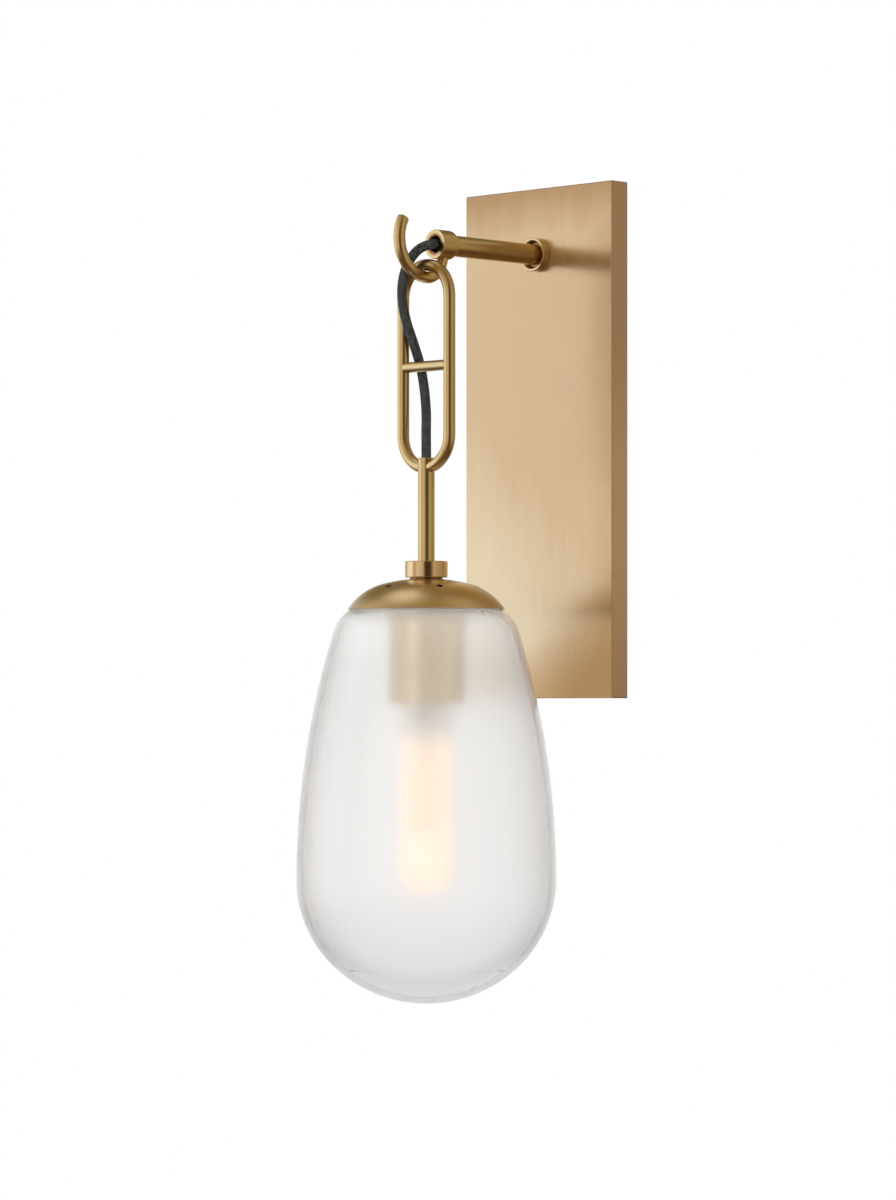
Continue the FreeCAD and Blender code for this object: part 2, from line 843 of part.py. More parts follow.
def make_link():
    body = new_body("link")
    turn = link_half.value
    high = size("link_length").value - turn
    path = sketch_on(body, "XZ_Plane", "link_path")
    right_foot = path.addGeometry(arc_about((0, turn), turn, -math.pi / 2, 0), False)
    right_leg = path.addGeometry(line_between((turn, turn), (turn, high)), False)
    top = path.addGeometry(arc_about((0, high), turn, 0, math.pi), False)
    left_leg = path.addGeometry(line_between((-turn, high), (-turn, turn)), False)
    left_foot = path.addGeometry(arc_about((0, turn), turn, math.pi, math.pi * 3 / 2), False)
    for first, second in ((right_foot, right_leg), (right_leg, top), (top, left_leg),
                          (left_leg, left_foot)):
        path.addConstraint(Sketcher.Constraint("Tangent", first, 2, second, 1))
    path.addConstraint(Sketcher.Constraint("Coincident", right_foot, 1, -1, 1))
    path.addConstraint(Sketcher.Constraint("Coincident", right_foot, 3, left_foot, 3))
    path.addConstraint(Sketcher.Constraint("PointOnObject", right_foot, 3, -2))
    path.addConstraint(Sketcher.Constraint("Vertical", right_leg))
    path.addConstraint(Sketcher.Constraint("PointOnObject", left_foot, 2, -2))
    bind(path, "Radius", (right_foot,), link_half)
    bind_y(path, top, 3, size("link_length") - link_half)
    section = sketch_on(body, "YZ_Plane", "link_section")
    draw_circle(section, NONE, NONE, link_rod)
    pipe = body.newObject("PartDesign::AdditivePipe", "link_pipe")
    pipe.Profile = section
    pipe.Spine = (path, edge_list(path))
    doc.recompute()
    hole = sketch_on(body, "XY_Plane", "link_stem_hole")
    draw_circle(hole, NONE, NONE, size("stem_diameter") / 2 + size("braze_gap"))
    cut_through(body, hole, size("link_rod") * 2 + overrun, "link_stem_pocket")
    place_on_pendant(body, link_bottom)
    return body


def make_crossbar():
    bar = cylinder("crossbar_blank", size("crossbar_rod") / 2, size("link_width"))
    across = FreeCAD.Rotation(FreeCAD.Vector(0, 1, 0), 90)
    bar.Placement = FreeCAD.Placement(FreeCAD.Vector(0, 0, 0), across)
    place_at(bar, -link_half, -reach, link_middle)
    legs = []
    for side, name in ((-link_half, "left"), (link_half, "right")):
        leg = cylinder("crossbar_%s_leg" % name, link_rod + size("braze_gap"), size("link_width"))
        place_at(leg, side, -reach, link_middle - link_half)
        legs.append(leg)
    return cut("link_crossbar", bar, group("crossbar_legs", legs))


# Stem, collar and cap

stem_radius = size("stem_diameter") / 2
stem_hole = stem_radius + size("thread_play")


def make_stem_pieces():
    edge = size("stem_edge")
    bore = size("stem_bore") / 2
    length = size("stem_length")
    stem = lathe("stem", [
        (bore + edge, NONE), (bore, -edge), (bore, -length), (stem_radius, -length),
        (stem_radius, -edge), (stem_radius - edge, NONE)])
    place_on_pendant(stem, stem_top)
    outer = size("collar_diameter") / 2
    height = size("collar_height")
    soft = size("collar_edge")
    collar = lathe("collar", [
        (stem_hole, NONE), (outer, NONE, soft), (outer, height, soft), (stem_hole, height)])
    place_on_pendant(collar, collar_bottom)
    washer = ring("collar_washer", stem_hole, size("collar_washer_diameter") / 2,
                  size("collar_washer_thickness"))
    place_on_pendant(washer, cap_seat)
    return [stem, collar, washer]


def angle_from(centre, point):
    return math.atan2(point[1] - centre[1], point[0] - centre[0])


def draw_shell_arcs(sketch, arcs, wall):
    """Draws a chain of tangent arcs, from the top down, and the same chain one wall further in.

    Each arc is (centre, radius, angle at its top, angle at its foot), all numbers. Returns the
    outer and the inner arcs. The inner arcs share the outer centres; the first gets its radius.
    """
    outer = []
    inner = []
    for centre, radius, top, foot in arcs:
        outer.append(sketch.addGeometry(arc_about(centre, radius, foot, top), False))
    for centre, radius, top, foot in arcs:
        inner.append(sketch.addGeometry(arc_about(centre, radius - wall.value, foot, top), False))
    for chain in (outer, inner):
        for above, below in zip(chain[:-1], chain[1:]):
            sketch.addConstraint(Sketcher.Constraint("Tangent", above, 1, below, 2))
    for out, within in zip(outer, inner):
        sketch.addConstraint(Sketcher.Constraint("Coincident", out, 3, within, 3))
    return outer, inner


# The cap's two arcs, measured from the middle of its rim. The shoulder's centre lies at known
# distances from the crown's centre and from the rim.

cap_crown = size("cap_crown_radius")
cap_shoulder = size("cap_shoulder_radius")
cap_seat_radius = size("cap_seat_diameter") / 2
cap_radius = size("cap_diameter") / 2
inner_shoulder = cap_shoulder - size("cap_sheet")
crown_depth = derived("crown_depth", third_side(cap_crown, cap_seat_radius) - size("cap_height"))
centre_span = derived("centre_span", root(cap_radius * cap_radius + crown_depth * crown_depth))
crown_to_shoulder = cap_crown - cap_shoulder
centre_along = derived("centre_along", (
    centre_span * centre_span + crown_to_shoulder * crown_to_shoulder
    - cap_shoulder * cap_shoulder) / (centre_span * 2))
centre_across = derived("centre_across", third_side(crown_to_shoulder, centre_along))
shoulder_side = derived(
    "shoulder_side", (centre_along * cap_radius - centre_across * crown_depth) / centre_span)
shoulder_depth = derived("shoulder_depth", crown_depth - (
    centre_along * crown_depth + centre_across * cap_radius) / centre_span)
cap_inner_radius = derived(
    "cap_inner_radius", shoulder_side + third_side(inner_shoulder, shoulder_depth))


def make_cap():
    body = new_body("cap")
    height = size("cap_height")
    metal = size("cap_sheet")
    crown_centre = (0.0, -crown_depth.value)
    shoulder_centre = (shoulder_side.value, -shoulder_depth.value)
    joint = angle_from(crown_centre, shoulder_centre)
    seat_angle = angle_from(crown_centre, (cap_seat_radius.value, height.value))
    rim_angle = angle_from(shoulder_centre, (cap_radius.value, 0.0))
    sketch = sketch_on(body, "XZ_Plane", "cap_profile")
    outer, inner = draw_shell_arcs(sketch, [
        (crown_centre, cap_crown.value, seat_angle, joint),
        (shoulder_centre, cap_shoulder.value, joint, rim_angle),
    ], metal)
    inner_top_height = (height - metal).value
    inner_seat = third_side(cap_crown - metal, height - metal + crown_depth).value
    hole = stem_hole.value
    seat = cap_seat_radius.value
    rim = (cap_radius.value, 0.0)
    lip = sketch.addGeometry(line_between(rim, (cap_inner_radius.value, 0.0)), False)
    top = sketch.addGeometry(line_between((hole, height.value), (seat, height.value)), False)
    under = sketch.addGeometry(
        line_between((hole, inner_top_height), (inner_seat, inner_top_height)), False)
    bore = sketch.addGeometry(line_between((hole, height.value), (hole, inner_top_height)), False)
    for first, end, second, start in (
            (top, 2, outer[0], 2), (outer[1], 1, lip, 1), (lip, 2, inner[1], 1),
            (inner[0], 2, under, 2), (under, 1, bore, 2), (bore, 1, top, 1)):
        sketch.addConstraint(Sketcher.Constraint("Coincident", first, end, second, start))
    for flat in (lip, top, under):
        sketch.addConstraint(Sketcher.Constraint("Horizontal", flat))
    sketch.addConstraint(Sketcher.Constraint("Vertical", bore))
    sketch.addConstraint(Sketcher.Constraint("PointOnObject", outer[0], 3, -2))
    bind(sketch, "Radius", (outer[0],), cap_crown)
    bind(sketch, "Radius", (outer[1],), cap_shoulder)
    bind(sketch, "Radius", (inner[1],), inner_shoulder)
    bind_x(sketch, top, 2, cap_seat_radius)
    bind_y(sketch, top, 2, height)
    bind_y(sketch, under, 2, height - metal)
    bind_x(sketch, bore, 1, stem_hole)
    bind_x(sketch, lip, 1, cap_radius)
    bind_y(sketch, lip, 1, NONE)
    revolve(body, sketch)
    vent = sketch_on(body, "XY_Plane", "cap_vent")
    draw_circle(vent, NONE, -(size("vent_ring_diameter") / 2), size("vent_diameter") / 2)
    first_vent = cut_through(body, vent, height * 2 + overrun, "cap_vent_pocket")
    repeat_about_axis(body, first_vent, VENTS, "cap_vents")
    place_on_pendant(body, cap_rim)
    return body


# The threaded ring stands up to the inner face of the cap's shoulder, and clears the socket cup

cup_radius = size("cup_diameter") / 2
gallery_inner = cup_radius + size("gallery_cup_gap")
gallery_outer = gallery_inner + size("gallery_wall")
cap_under = third_side(inner_shoulder, gallery_outer - shoulder_side) - shoulder_depth
gallery_top = derived("gallery_top", cap_under - size("gallery_cap_gap"))


def make_gallery():
    outer = gallery_outer
    inner = gallery_inner
    top = gallery_top
    body = lathe("shade_gallery", [(inner, NONE), (outer, NONE), (outer, top), (inner, top)])
    notch = sketch_on(body, "XZ_Plane", "gallery_notch")
    half = size("gallery_notch_width") / 2
    low = top - size("gallery_notch_height")
    draw_outline(notch, [(-half, low), (half, low), (half, top + overrun), (-half, top + overrun)])
    pocket = body.newObject("PartDesign::Pocket", "gallery_notch_pocket")
    pocket.Profile = notch
    pocket.Reversed = True
    pocket.setExpression("Length", (outer + overrun).text)
    before = body.Shape.Volume
    doc.recompute()
    if not pocket.Shape.Volume < before:
        raise RuntimeError("the gallery has no notch")
    repeat_about_axis(body, pocket, VENTS, "gallery_notches")
    place_on_pendant(body, cap_rim)
    return body


# Glass and its ring

ring_inner = gallery_outer + size("ring_play")
ring_outer = ring_inner + size("ring_wall")
shade_mouth = ring_outer + size("glue_gap")

# The glass's arcs, measured from the middle of the cap's rim: the shoulder passes the rim's inner
# edge at a small gap, the side touches the shoulder, and the lower arc turns by a given angle
# before the bottom arc takes over.

shade_widest = size("shade_diameter") / 2
shade_shoulder = size("shade_shoulder_radius")
shade_shoulder_depth = shade_shoulder - size("shade_rise")
shade_shoulder_side = derived("shade_shoulder_side", cap_inner_radius - third_side(
    shade_shoulder + size("shade_cap_gap"), shade_shoulder_depth))
side_height = size("shade_widest_drop") - shade_shoulder_depth
side_width = shade_widest - shade_shoulder_side
shade_side_radius = derived("shade_side_radius", (
    side_width * side_width + side_height * side_height - shade_shoulder * shade_shoulder)
    / ((side_width - shade_shoulder) * 2))
lower_turn = size("shade_lower_turn")
lower_depth = size("shade_drop") - size("shade_widest_drop")
turn_share = sine(lower_turn) + cosine(lower_turn) - 1
shade_lower_radius = derived("shade_lower_radius", (
    lower_depth * cosine(lower_turn) - shade_widest + shade_widest * sine(lower_turn)) / turn_share)
shade_bottom_radius = derived("shade_bottom_radius", (
    shade_widest * sine(lower_turn) - lower_depth + lower_depth * cosine(lower_turn)) / turn_share)


def make_shade():
    body = new_body("glass_shade")
    wall = size("shade_wall")
    waist = size("shade_widest_drop")
    rise = size("shade_rise")
    drop = size("shade_drop")
    side_centre = ((shade_widest - shade_side_radius).value, -waist.value)
    lower_centre = ((shade_widest - shade_lower_radius).value, -waist.value)
    shoulder_centre = (shade_shoulder_side.value, -shade_shoulder_depth.value)
    bottom_centre = (0.0, (shade_bottom_radius - drop).value)
    upper_joint = angle_from(side_centre, shoulder_centre)
    lower_joint = -math.radians(lower_turn.value)
    sketch = sketch_on(body, "XZ_Plane", "shade_profile")
    outer, inner = draw_shell_arcs(sketch, [
        (shoulder_centre, shade_shoulder.value, math.pi / 2, upper_joint),
        (side_centre, shade_side_radius.value, upper_joint, 0.0),
        (lower_centre, shade_lower_radius.value, 0.0, lower_joint),
        (bottom_centre, shade_bottom_radius.value, lower_joint, -math.pi / 2),
    ], wall)
    mouth = shade_mouth.value
    top_level = rise.value
    under_level = rise.value - wall.value
    edge = shoulder_centre[0]
    top = sketch.addGeometry(line_between((mouth, top_level), (edge, top_level)), False)
    under = sketch.addGeometry(line_between((mouth, under_level), (edge, under_level)), False)
    bore = sketch.addGeometry(line_between((mouth, top_level), (mouth, under_level)), False)
    axis = sketch.addGeometry(
        line_between((0.0, -drop.value), (0.0, wall.value - drop.value)), False)
    sketch.addConstraint(Sketcher.Constraint("Tangent", top, 2, outer[0], 2))
    sketch.addConstraint(Sketcher.Constraint("Tangent", under, 2, inner[0], 2))
    for first, end, second, start in (
            (top, 1, bore, 1), (under, 1, bore, 2), (axis, 1, outer[3], 1), (axis, 2, inner[3], 1)):
        sketch.addConstraint(Sketcher.Constraint("Coincident", first, end, second, start))
    for flat in (top, under):
        sketch.addConstraint(Sketcher.Constraint("Horizontal", flat))
    sketch.addConstraint(Sketcher.Constraint("Vertical", bore))
    sketch.addConstraint(Sketcher.Constraint("PointOnObject", axis, 1, -2))
    sketch.addConstraint(Sketcher.Constraint("PointOnObject", axis, 2, -2))
    sketch.addConstraint(Sketcher.Constraint("PointOnObject", outer[3], 3, -2))
    sketch.addConstraint(Sketcher.Constraint("Horizontal", outer[1], 3, outer[1], 1))
    bind(sketch, "Radius", (outer[0],), shade_shoulder)
    bind(sketch, "Radius", (outer[1],), shade_side_radius)
    bind(sketch, "Radius", (outer[2],), shade_lower_radius)
    bind(sketch, "Radius", (inner[0],), shade_shoulder - wall)
    bind_x(sketch, outer[1], 1, shade_widest)
    bind_y(sketch, outer[1], 1, -waist)
    bind_x(sketch, bore, 1, shade_mouth)
    bind_y(sketch, top, 2, rise)
    bind_y(sketch, axis, 1, -drop)
    revolve(body, sketch)
    place_on_pendant(body, cap_rim)
    return body


def make_shade_ring():
    rise = size("shade_rise")
    flange = ring_outer + size("ring_flange_width")
    top = rise + size("glue_gap") + size("ring_flange_thickness")
    low = top - size("ring_flange_thickness") - size("ring_skirt")
    body = lathe("shade_ring", [
        (ring_inner, low), (ring_outer, low), (ring_outer, rise + size("glue_gap")),
        (flange, rise + size("glue_gap")), (flange, top), (ring_inner, top)])
    place_on_pendant(body, cap_rim)
    return body


# Socket cup, its fasteners and the lamp socket

cup_top = size("cap_height") - size("cap_sheet")


def make_cup_pieces():
    metal = size("cup_sheet")
    soft = size("cup_shoulder_round")
    length = size("cup_length")
    boss = size("cup_boss_diameter") / 2
    shoulder = -size("cup_boss_height")
    cup = lathe("socket_cup", [
        (stem_hole, NONE),
        (stem_hole, -metal),
        (boss - metal, -metal),
        (boss - metal, shoulder - metal),
        (cup_radius - metal, shoulder - metal, soft - metal),
        (cup_radius - metal, -length),
        (cup_radius, -length),
        (cup_radius, shoulder, soft),
        (boss, shoulder),
        (boss, NONE),
    ])
    place_on_pendant(cup, cap_rim + cup_top)
    washer_low = cap_rim + cup_top - metal - size("socket_lockwasher_thickness")
    washer = ring("socket_lockwasher", stem_hole, size("socket_lockwasher_diameter") / 2,
                  size("socket_lockwasher_thickness"))
    place_on_pendant(washer, washer_low)
    nut = hex_nut("socket_nut", size("socket_nut_flats"), size("socket_nut_thickness"), stem_hole)
    place_on_pendant(nut, washer_low - size("socket_nut_thickness"))
    return [cup, washer, nut]


socket_cap_shelf = size("socket_neck_top") - size("socket_neck_length")
socket_body_top = size("socket_body_top")
socket_body_foot = socket_body_top - size("socket_body_length")
terminal_hole = size("terminal_diameter") / 2 + size("thread_play")


def make_socket_cap():
    metal = size("socket_cap_sheet")
    outer = size("socket_cap_diameter") / 2
    foot = socket_cap_shelf - size("socket_cap_skirt")
    body = lathe("socket_cap", [
        (stem_hole, size("socket_neck_top")),
        (stem_hole, socket_cap_shelf - metal),
        (outer - metal, socket_cap_shelf - metal),
        (outer - metal, foot),
        (outer, foot),
        (outer, socket_cap_shelf, size("socket_edge")),
        (size("socket_neck_diameter") / 2, socket_cap_shelf),
        (size("socket_neck_diameter") / 2, size("socket_neck_top")),
    ])
    place_on_pendant(body, cap_rim)
    return body


def make_socket_body():
    outer = size("socket_body_diameter") / 2
    spigot = size("socket_cap_diameter") / 2 - size("socket_cap_sheet") - slip
    step = socket_cap_shelf - size("socket_cap_skirt")
    bore = size("shell_bore") / 2 + size("shell_sheet") + slip
    ceiling = socket_body_foot + size("socket_bore_depth")
    rivet = size("contact_rivet_diameter") / 2 + slip
    rivet_top = ceiling + size("contact_rivet_length")
    body = lathe("socket_body", [
        (NONE, rivet_top),
        (rivet, rivet_top),
        (rivet, ceiling),
        (bore, ceiling),
        (bore, socket_body_foot),
        (outer, socket_body_foot, size("socket_edge")),
        (outer, step),
        (spigot, step),
        (spigot, socket_body_top),
        (NONE, socket_body_top),
    ])
    holes = sketch_on(body, "XY_Plane", "socket_terminal_holes")
    for side in (-size("terminal_offset"), size("terminal_offset")):
        draw_circle(holes, side, NONE, terminal_hole)
    reach_down = (size("terminal_length") - socket_body_top) * 2
    cut_through(body, holes, reach_down, "socket_terminal_pocket")
    place_on_pendant(body, cap_rim)
    return body


def make_socket_metal():
    ceiling = socket_body_foot + size("socket_bore_depth")
    bore = size("shell_bore") / 2
    skin = size("shell_sheet")
    shell = lathe("screw_shell", [
        (bore, ceiling - size("shell_length")),
        (bore + skin, ceiling - size("shell_length")),
        (bore + skin, ceiling),
        (bore - size("shell_lip"), ceiling),
        (bore - size("shell_lip"), ceiling - skin),
        (bore, ceiling - skin),
    ])
    place_on_pendant(shell, cap_rim)
    rivet = size("contact_rivet_diameter") / 2
    disc = size("contact_diameter") / 2
    low = -size("bulb_top_drop") + size("contact_gap")
    contact = lathe("center_contact", [
        (NONE, low), (disc, low), (disc, low + size("contact_sheet")),
        (rivet, low + size("contact_sheet")), (rivet, ceiling + size("contact_rivet_length") - slip),
        (NONE, ceiling + size("contact_rivet_length") - slip)])
    place_on_pendant(contact, cap_rim)
    head = size("terminal_head") / 2
    shank = size("terminal_diameter") / 2
    head_top = socket_body_top + size("terminal_head_height")
    foot = socket_body_top - size("terminal_length") + overrun
    screw = lathe("terminal_screw", [
        (NONE, foot), (shank, foot), (shank, socket_body_top), (head, socket_body_top),
        (head, head_top), (NONE, head_top)])
    place_on_pendant(screw, cap_rim)
    screw.setExpression("Placement.Base.x", size("terminal_offset").text)
    screws = group("terminal_screws", [screw, mirrored(screw, FreeCAD.Vector(1, 0, 0))])
    return [shell, contact, screws]


# Bulb, measured down from the tip of its base

bulb_top = cap_rim - size("bulb_top_drop")
base_radius = size("base_diameter") / 2
base_foot = -size("base_length")
neck_radius = size("bulb_neck_diameter") / 2
insulator_foot = -(size("tip_height") + size("insulator_height"))


def make_bulb():
    tip = size("tip_diameter") / 2
    contact = lathe("bulb_contact", [
        (NONE, -size("tip_height")), (tip, -size("tip_height")), (tip - size("screw_point"), NONE),
        (NONE, NONE)])
    skin = size("base_sheet")
    thread_top = base_foot + size("base_thread_length")
    insulator = lathe("bulb_insulator", [
        (NONE, -size("tip_height")), (tip, -size("tip_height")),
        (base_radius - size("insulator_wall"), thread_top), (NONE, thread_top)])
    base = lathe("bulb_base", [
        (base_radius - skin, base_foot), (base_radius, base_foot), (base_radius, thread_top),
        (base_radius - size("insulator_wall"), thread_top),
        (base_radius - size("insulator_wall"), thread_top - skin),
        (base_radius - skin, thread_top - skin)])
    wall = size("bulb_wall")
    outer = size("bulb_diameter") / 2
    foot = -size("bulb_length")
    taper_foot = base_foot - size("bulb_taper")
    soft = size("bulb_end_round")
    throat = base_foot + size("bulb_taper") / 2
    glass = lathe("bulb_glass", [
        (neck_radius - wall, throat),
        (neck_radius, throat),
        (neck_radius, base_foot),
        (outer, taper_foot),
        (outer, foot, soft),
        (NONE, foot),
        (NONE, foot + wall),
        (outer - wall, foot + wall, soft - wall),
        (outer - wall, taper_foot),
        (neck_radius - wall, base_foot),
    ])
    for item in (contact, insulator, base, glass):
        place_on_pendant(item, bulb_top)
    return [contact, insulator, base, glass]


def make_bulb_inside():
    rod = size("mount_rod") / 2
    disc = size("mount_disc_diameter") / 2
    thick = size("mount_disc_thickness")
    flare = neck_radius - size("bulb_wall") - slip
    throat = base_foot + size("bulb_taper") / 2
    upper = base_foot - size("bulb_taper")
    lower = upper - size("filament_length")
    mount = lathe("bulb_mount", [
        (NONE, lower - thick), (disc, lower - thick), (disc, lower), (rod, lower),
        (rod, upper), (disc, upper), (disc, upper + thick), (rod, upper + thick),
        (flare, throat - thick), (flare, throat), (NONE, throat)])
    place_on_pendant(mount, bulb_top)
    sticks = []
    for number in range(FILAMENTS):
        angle = (number + 0.5) * FULL_TURN / FILAMENTS
        across = size("filament_ring_diameter") / 2
        stick = cylinder("filament_%d" % (number + 1), size("filament_diameter") / 2,
                         size("filament_length"))
        place_at(stick, across * math.cos(math.radians(angle)),
                 across * math.sin(math.radians(angle)) - reach, bulb_top + lower)
        sticks.append(stick)
    return [mount, group("bulb_filaments", sticks)]


# Cord and wires: straight runs joined by tangent arcs

ARC_SHARE = 0.45


def route_shape(label, points, diameter):
    """A round solid along a route. Each arc is as large as the two runs beside it allow."""
    points = [FreeCAD.Vector(*point) for point in points]
    edges = []
    radii = []
    start = points[0]
    for before, corner, after in zip(points[:-2], points[1:-1], points[2:]):
        back = (before - corner).normalize()
        ahead = (after - corner).normalize()
        turn = math.pi - back.getAngle(ahead)
        trim = ARC_SHARE * min((before - corner).Length, (after - corner).Length)
        radius = trim / math.tan(turn / 2)
        radii.append(radius)
        first = corner + back * trim
        last = corner + ahead * trim
        middle = (back + ahead).normalize()
        centre = corner + middle * (radius / math.cos(turn / 2))
        crest = centre - middle * radius
        edges.append(Part.LineSegment(start, first).toShape())
        edges.append(Part.Arc(first, crest, last).toShape())
        start = last
    edges.append(Part.LineSegment(start, points[-1]).toShape())
    path = Part.Wire(edges)
    direction = points[1] - points[0]
    section = Part.Wire([Part.Circle(points[0], direction, diameter / 2).toShape()])
    solid = path.makePipeShell([section], True, False)
    expected = math.pi * diameter ** 2 / 4 * path.Length
    print("%s: length %.2f, volume %.5f of section times length, radii %s" % (
        label, path.Length, solid.Volume / expected, " ".join("%.1f" % r for r in radii)))
    return solid


def route_piece(label, points, diameter):
    item = doc.addObject("Part::Feature", label)
    item.Label = label
    item.Shape = route_shape(label, points, diameter)
    return item


def make_wires():
    wire = size("wire_diameter").value
    spread = size("wire_spread").value
    depth = size("wire_depth").value
    start = size("wire_start").value
    rise = arm_rise.value
    side = size("connector_side").value
    connector_top = rise - size("connector_top_drop").value
    inside = connector_top - size("connector_bore_depth").value + size("slip_play").value
    fall = size("connector_top_drop").value
    pieces = []
    for label, sign in (("lead_live", -1.0), ("lead_neutral", 1.0)):
        pieces.append(route_piece(label, [
            (sign * spread, -start, rise),
            (sign * spread, -depth, rise),
            (sign * spread, -depth, rise - fall / 3),
            (sign * side, -depth, rise - fall * 2 / 3),
            (sign * side, -depth, inside),
        ], wire))
    screw_side = size("ground_screw_side").value
    beside = screw_side - (size("ground_screw_diameter").value + wire) / 2 - slip.value
    screw_rise = ground_screw_rise.value
    pieces.append(route_piece("lead_ground", [
        (0.0, -start, rise),
        (0.0, -depth, rise),
        (0.0, -depth, screw_rise + fall / 2),
        (beside, -depth, screw_rise + fall / 4),
        (beside, -depth, screw_rise - size("ground_screw_diameter").value / 2),
    ], wire))
    return pieces


def make_connectors():
    outer = size("connector_diameter") / 2
    tip = size("connector_tip_diameter") / 2
    bore = size("wire_diameter") / 2 + slip
    depth = size("connector_bore_depth")
    length = size("connector_length")
    shell = lathe("wire_connector", [
        (bore, NONE), (outer, NONE), (tip, -length), (NONE, -length), (NONE, -depth), (bore, -depth)])
    place_at(shell, size("connector_side"), -size("wire_depth"), arm_rise - size("connector_top_drop"))
    return group("wire_connectors", [shell, mirrored(shell, FreeCAD.Vector(1, 0, 0))])


def make_cord_pieces():
    cord_radius = size("cord_diameter") / 2
    arm_cord = cylinder("cord_in_arm", cord_radius, ferrule_front - size("wire_start"))
    place_on_arm(arm_cord, size("wire_start"))
    stem_cord = cylinder("cord_in_stem", cord_radius, stem_top - cap_rim - size("cord_end_rise"))
    place_on_pendant(stem_cord, cap_rim + size("cord_end_rise"))
    route = [(x, y - reach.value, z + arm_rise.value) for x, y, z in CORD_ROUTE]
    free_cord = route_piece("cord", route, size("cord_diameter").value)
    wire = size("socket_wire_diameter")
    level = cap_rim + socket_body_top + wire / 2 + size("socket_wire_lift")
    start = cap_rim + size("cord_end_rise")
    head_side = size("terminal_offset") - size("terminal_head") / 2 - slip
    leads = []
    for sign in (-1.0, 1.0):
        offset = sign * size("socket_wire_offset").value
        leads.append(route_piece("socket_lead_%s" % ("left" if sign < 0 else "right"), [
            (offset, -reach.value, start.value),
            (offset, -reach.value, level.value),
            (sign * head_side.value, -reach.value, level.value),
        ], wire.value))
    return [arm_cord, stem_cord, free_cord, group("socket_leads", leads)]


# The parts, in the order in which they go together

parts = [make_backplate(), make_bracket(), make_set_screws(), make_ground_screw()]
parts += make_arm_pieces()
parts += [make_ferrule(), make_hook(), make_link(), make_crossbar()]
parts += make_stem_pieces()
parts += [make_cap(), make_gallery(), make_shade(), make_shade_ring()]
parts += make_cup_pieces()
parts += [make_socket_cap(), make_socket_body()]
parts += make_socket_metal()
parts += make_bulb()
parts += make_bulb_inside()
parts += make_wires()
parts += [make_connectors()]
parts += make_cord_pieces()
doc.recompute()

for item in doc.Objects:
    faults = [state for state in item.State if state in ("Invalid", "Error")]
    if faults:
        raise RuntimeError("%s is %s" % (item.Label, ", ".join(faults)))

for item in parts:
    if item.Shape.isNull() or not item.Shape.isValid() or not item.Shape.Solids:
        raise RuntimeError("%s has no sound shape" % item.Label)

os.makedirs("parts", exist_ok=True)
for item in parts:
    item.Shape.exportStep("parts/%s.step" % item.Label)
    print("%s: %d solid(s), %.1f cubic mm" % (item.Label, len(item.Shape.Solids), item.Shape.Volume))
print("%d parts" % len(parts))
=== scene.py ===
import math

import bmesh
import bpy
import numpy as np
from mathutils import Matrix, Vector


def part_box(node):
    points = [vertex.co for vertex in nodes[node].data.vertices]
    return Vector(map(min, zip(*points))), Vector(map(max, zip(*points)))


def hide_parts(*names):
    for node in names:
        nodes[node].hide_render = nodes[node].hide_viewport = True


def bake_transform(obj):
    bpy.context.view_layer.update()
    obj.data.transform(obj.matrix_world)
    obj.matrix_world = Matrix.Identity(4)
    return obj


# The wall sconce, dressed for a picture. Lengths are in metres, in the CAD model's frame: the
# origin is on the wall at the middle of the backplate, +Z is up and the light stands out towards
# -Y. Seen from the front, +X is to the right.

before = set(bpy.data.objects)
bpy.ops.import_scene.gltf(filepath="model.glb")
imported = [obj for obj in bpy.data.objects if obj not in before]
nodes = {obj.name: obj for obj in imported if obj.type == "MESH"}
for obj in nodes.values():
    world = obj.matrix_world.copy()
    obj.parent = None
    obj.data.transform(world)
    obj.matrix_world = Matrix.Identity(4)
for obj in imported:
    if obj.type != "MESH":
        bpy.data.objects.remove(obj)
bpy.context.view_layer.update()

# Where the pieces are

REACH = 0.1125
ARM_RISE = 0.1183
PENDANT = Vector((0, -REACH, 0))
ARM = Vector((0, 0, ARM_RISE))
LINK_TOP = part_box("link")[1].z
GLASS_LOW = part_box("glass_shade")[0].z
GLASS_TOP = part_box("glass_shade")[1].z
BULB_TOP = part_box("bulb_glass")[1].z

# Camera

IMAGE_WIDTH = 896
IMAGE_HEIGHT = 1200
FOCAL_PIXELS = 4252.7
HORIZON_ROW = 699.42
CAMERA_PLACE = (1.8486, -1.9423, -0.1607)
# degrees to the right of straight in front of the plate
CAMERA_AZIMUTH = 45.0
SENSOR_WIDTH = 36.0
NEAREST_SEEN = 0.05

# Cord

CORD_DIAMETER = 0.0061
CORD_STRANDS = 12
BRAID_DEPTH = 0.0004
STRAND_HEIGHT = 0.62
STRAND_WEAVE = 0.38
LINE_STEPS = 40
CORD_AROUND = 96
CORD_RINGS = 860
# counted from the point of the pendant's axis at the arm's level
CORD_ROUTE = [
    (0.0, 0.00725, 0.0),
    (-0.0003, -0.0003, -0.0009),
    (-0.0031, -0.0067, -0.0057),
    (-0.0068, -0.0101, -0.0135),
    (-0.0096, -0.0113, -0.0237),
    (-0.0114, -0.0098, -0.0361),
    (-0.0122, -0.0047, -0.0488),
    (-0.0125, 0.0018, -0.0611),
    (-0.0123, 0.0075, -0.0743),
    (-0.0102, 0.0087, -0.0888),
    (-0.0060, 0.0061, -0.1035),
    (-0.0017, 0.0015, -0.1159),
    (0.0, 0.0, -0.1235),
    (0.0, 0.0, -0.131375),
]


def link(item):
    bpy.context.scene.collection.objects.link(item)
    return item


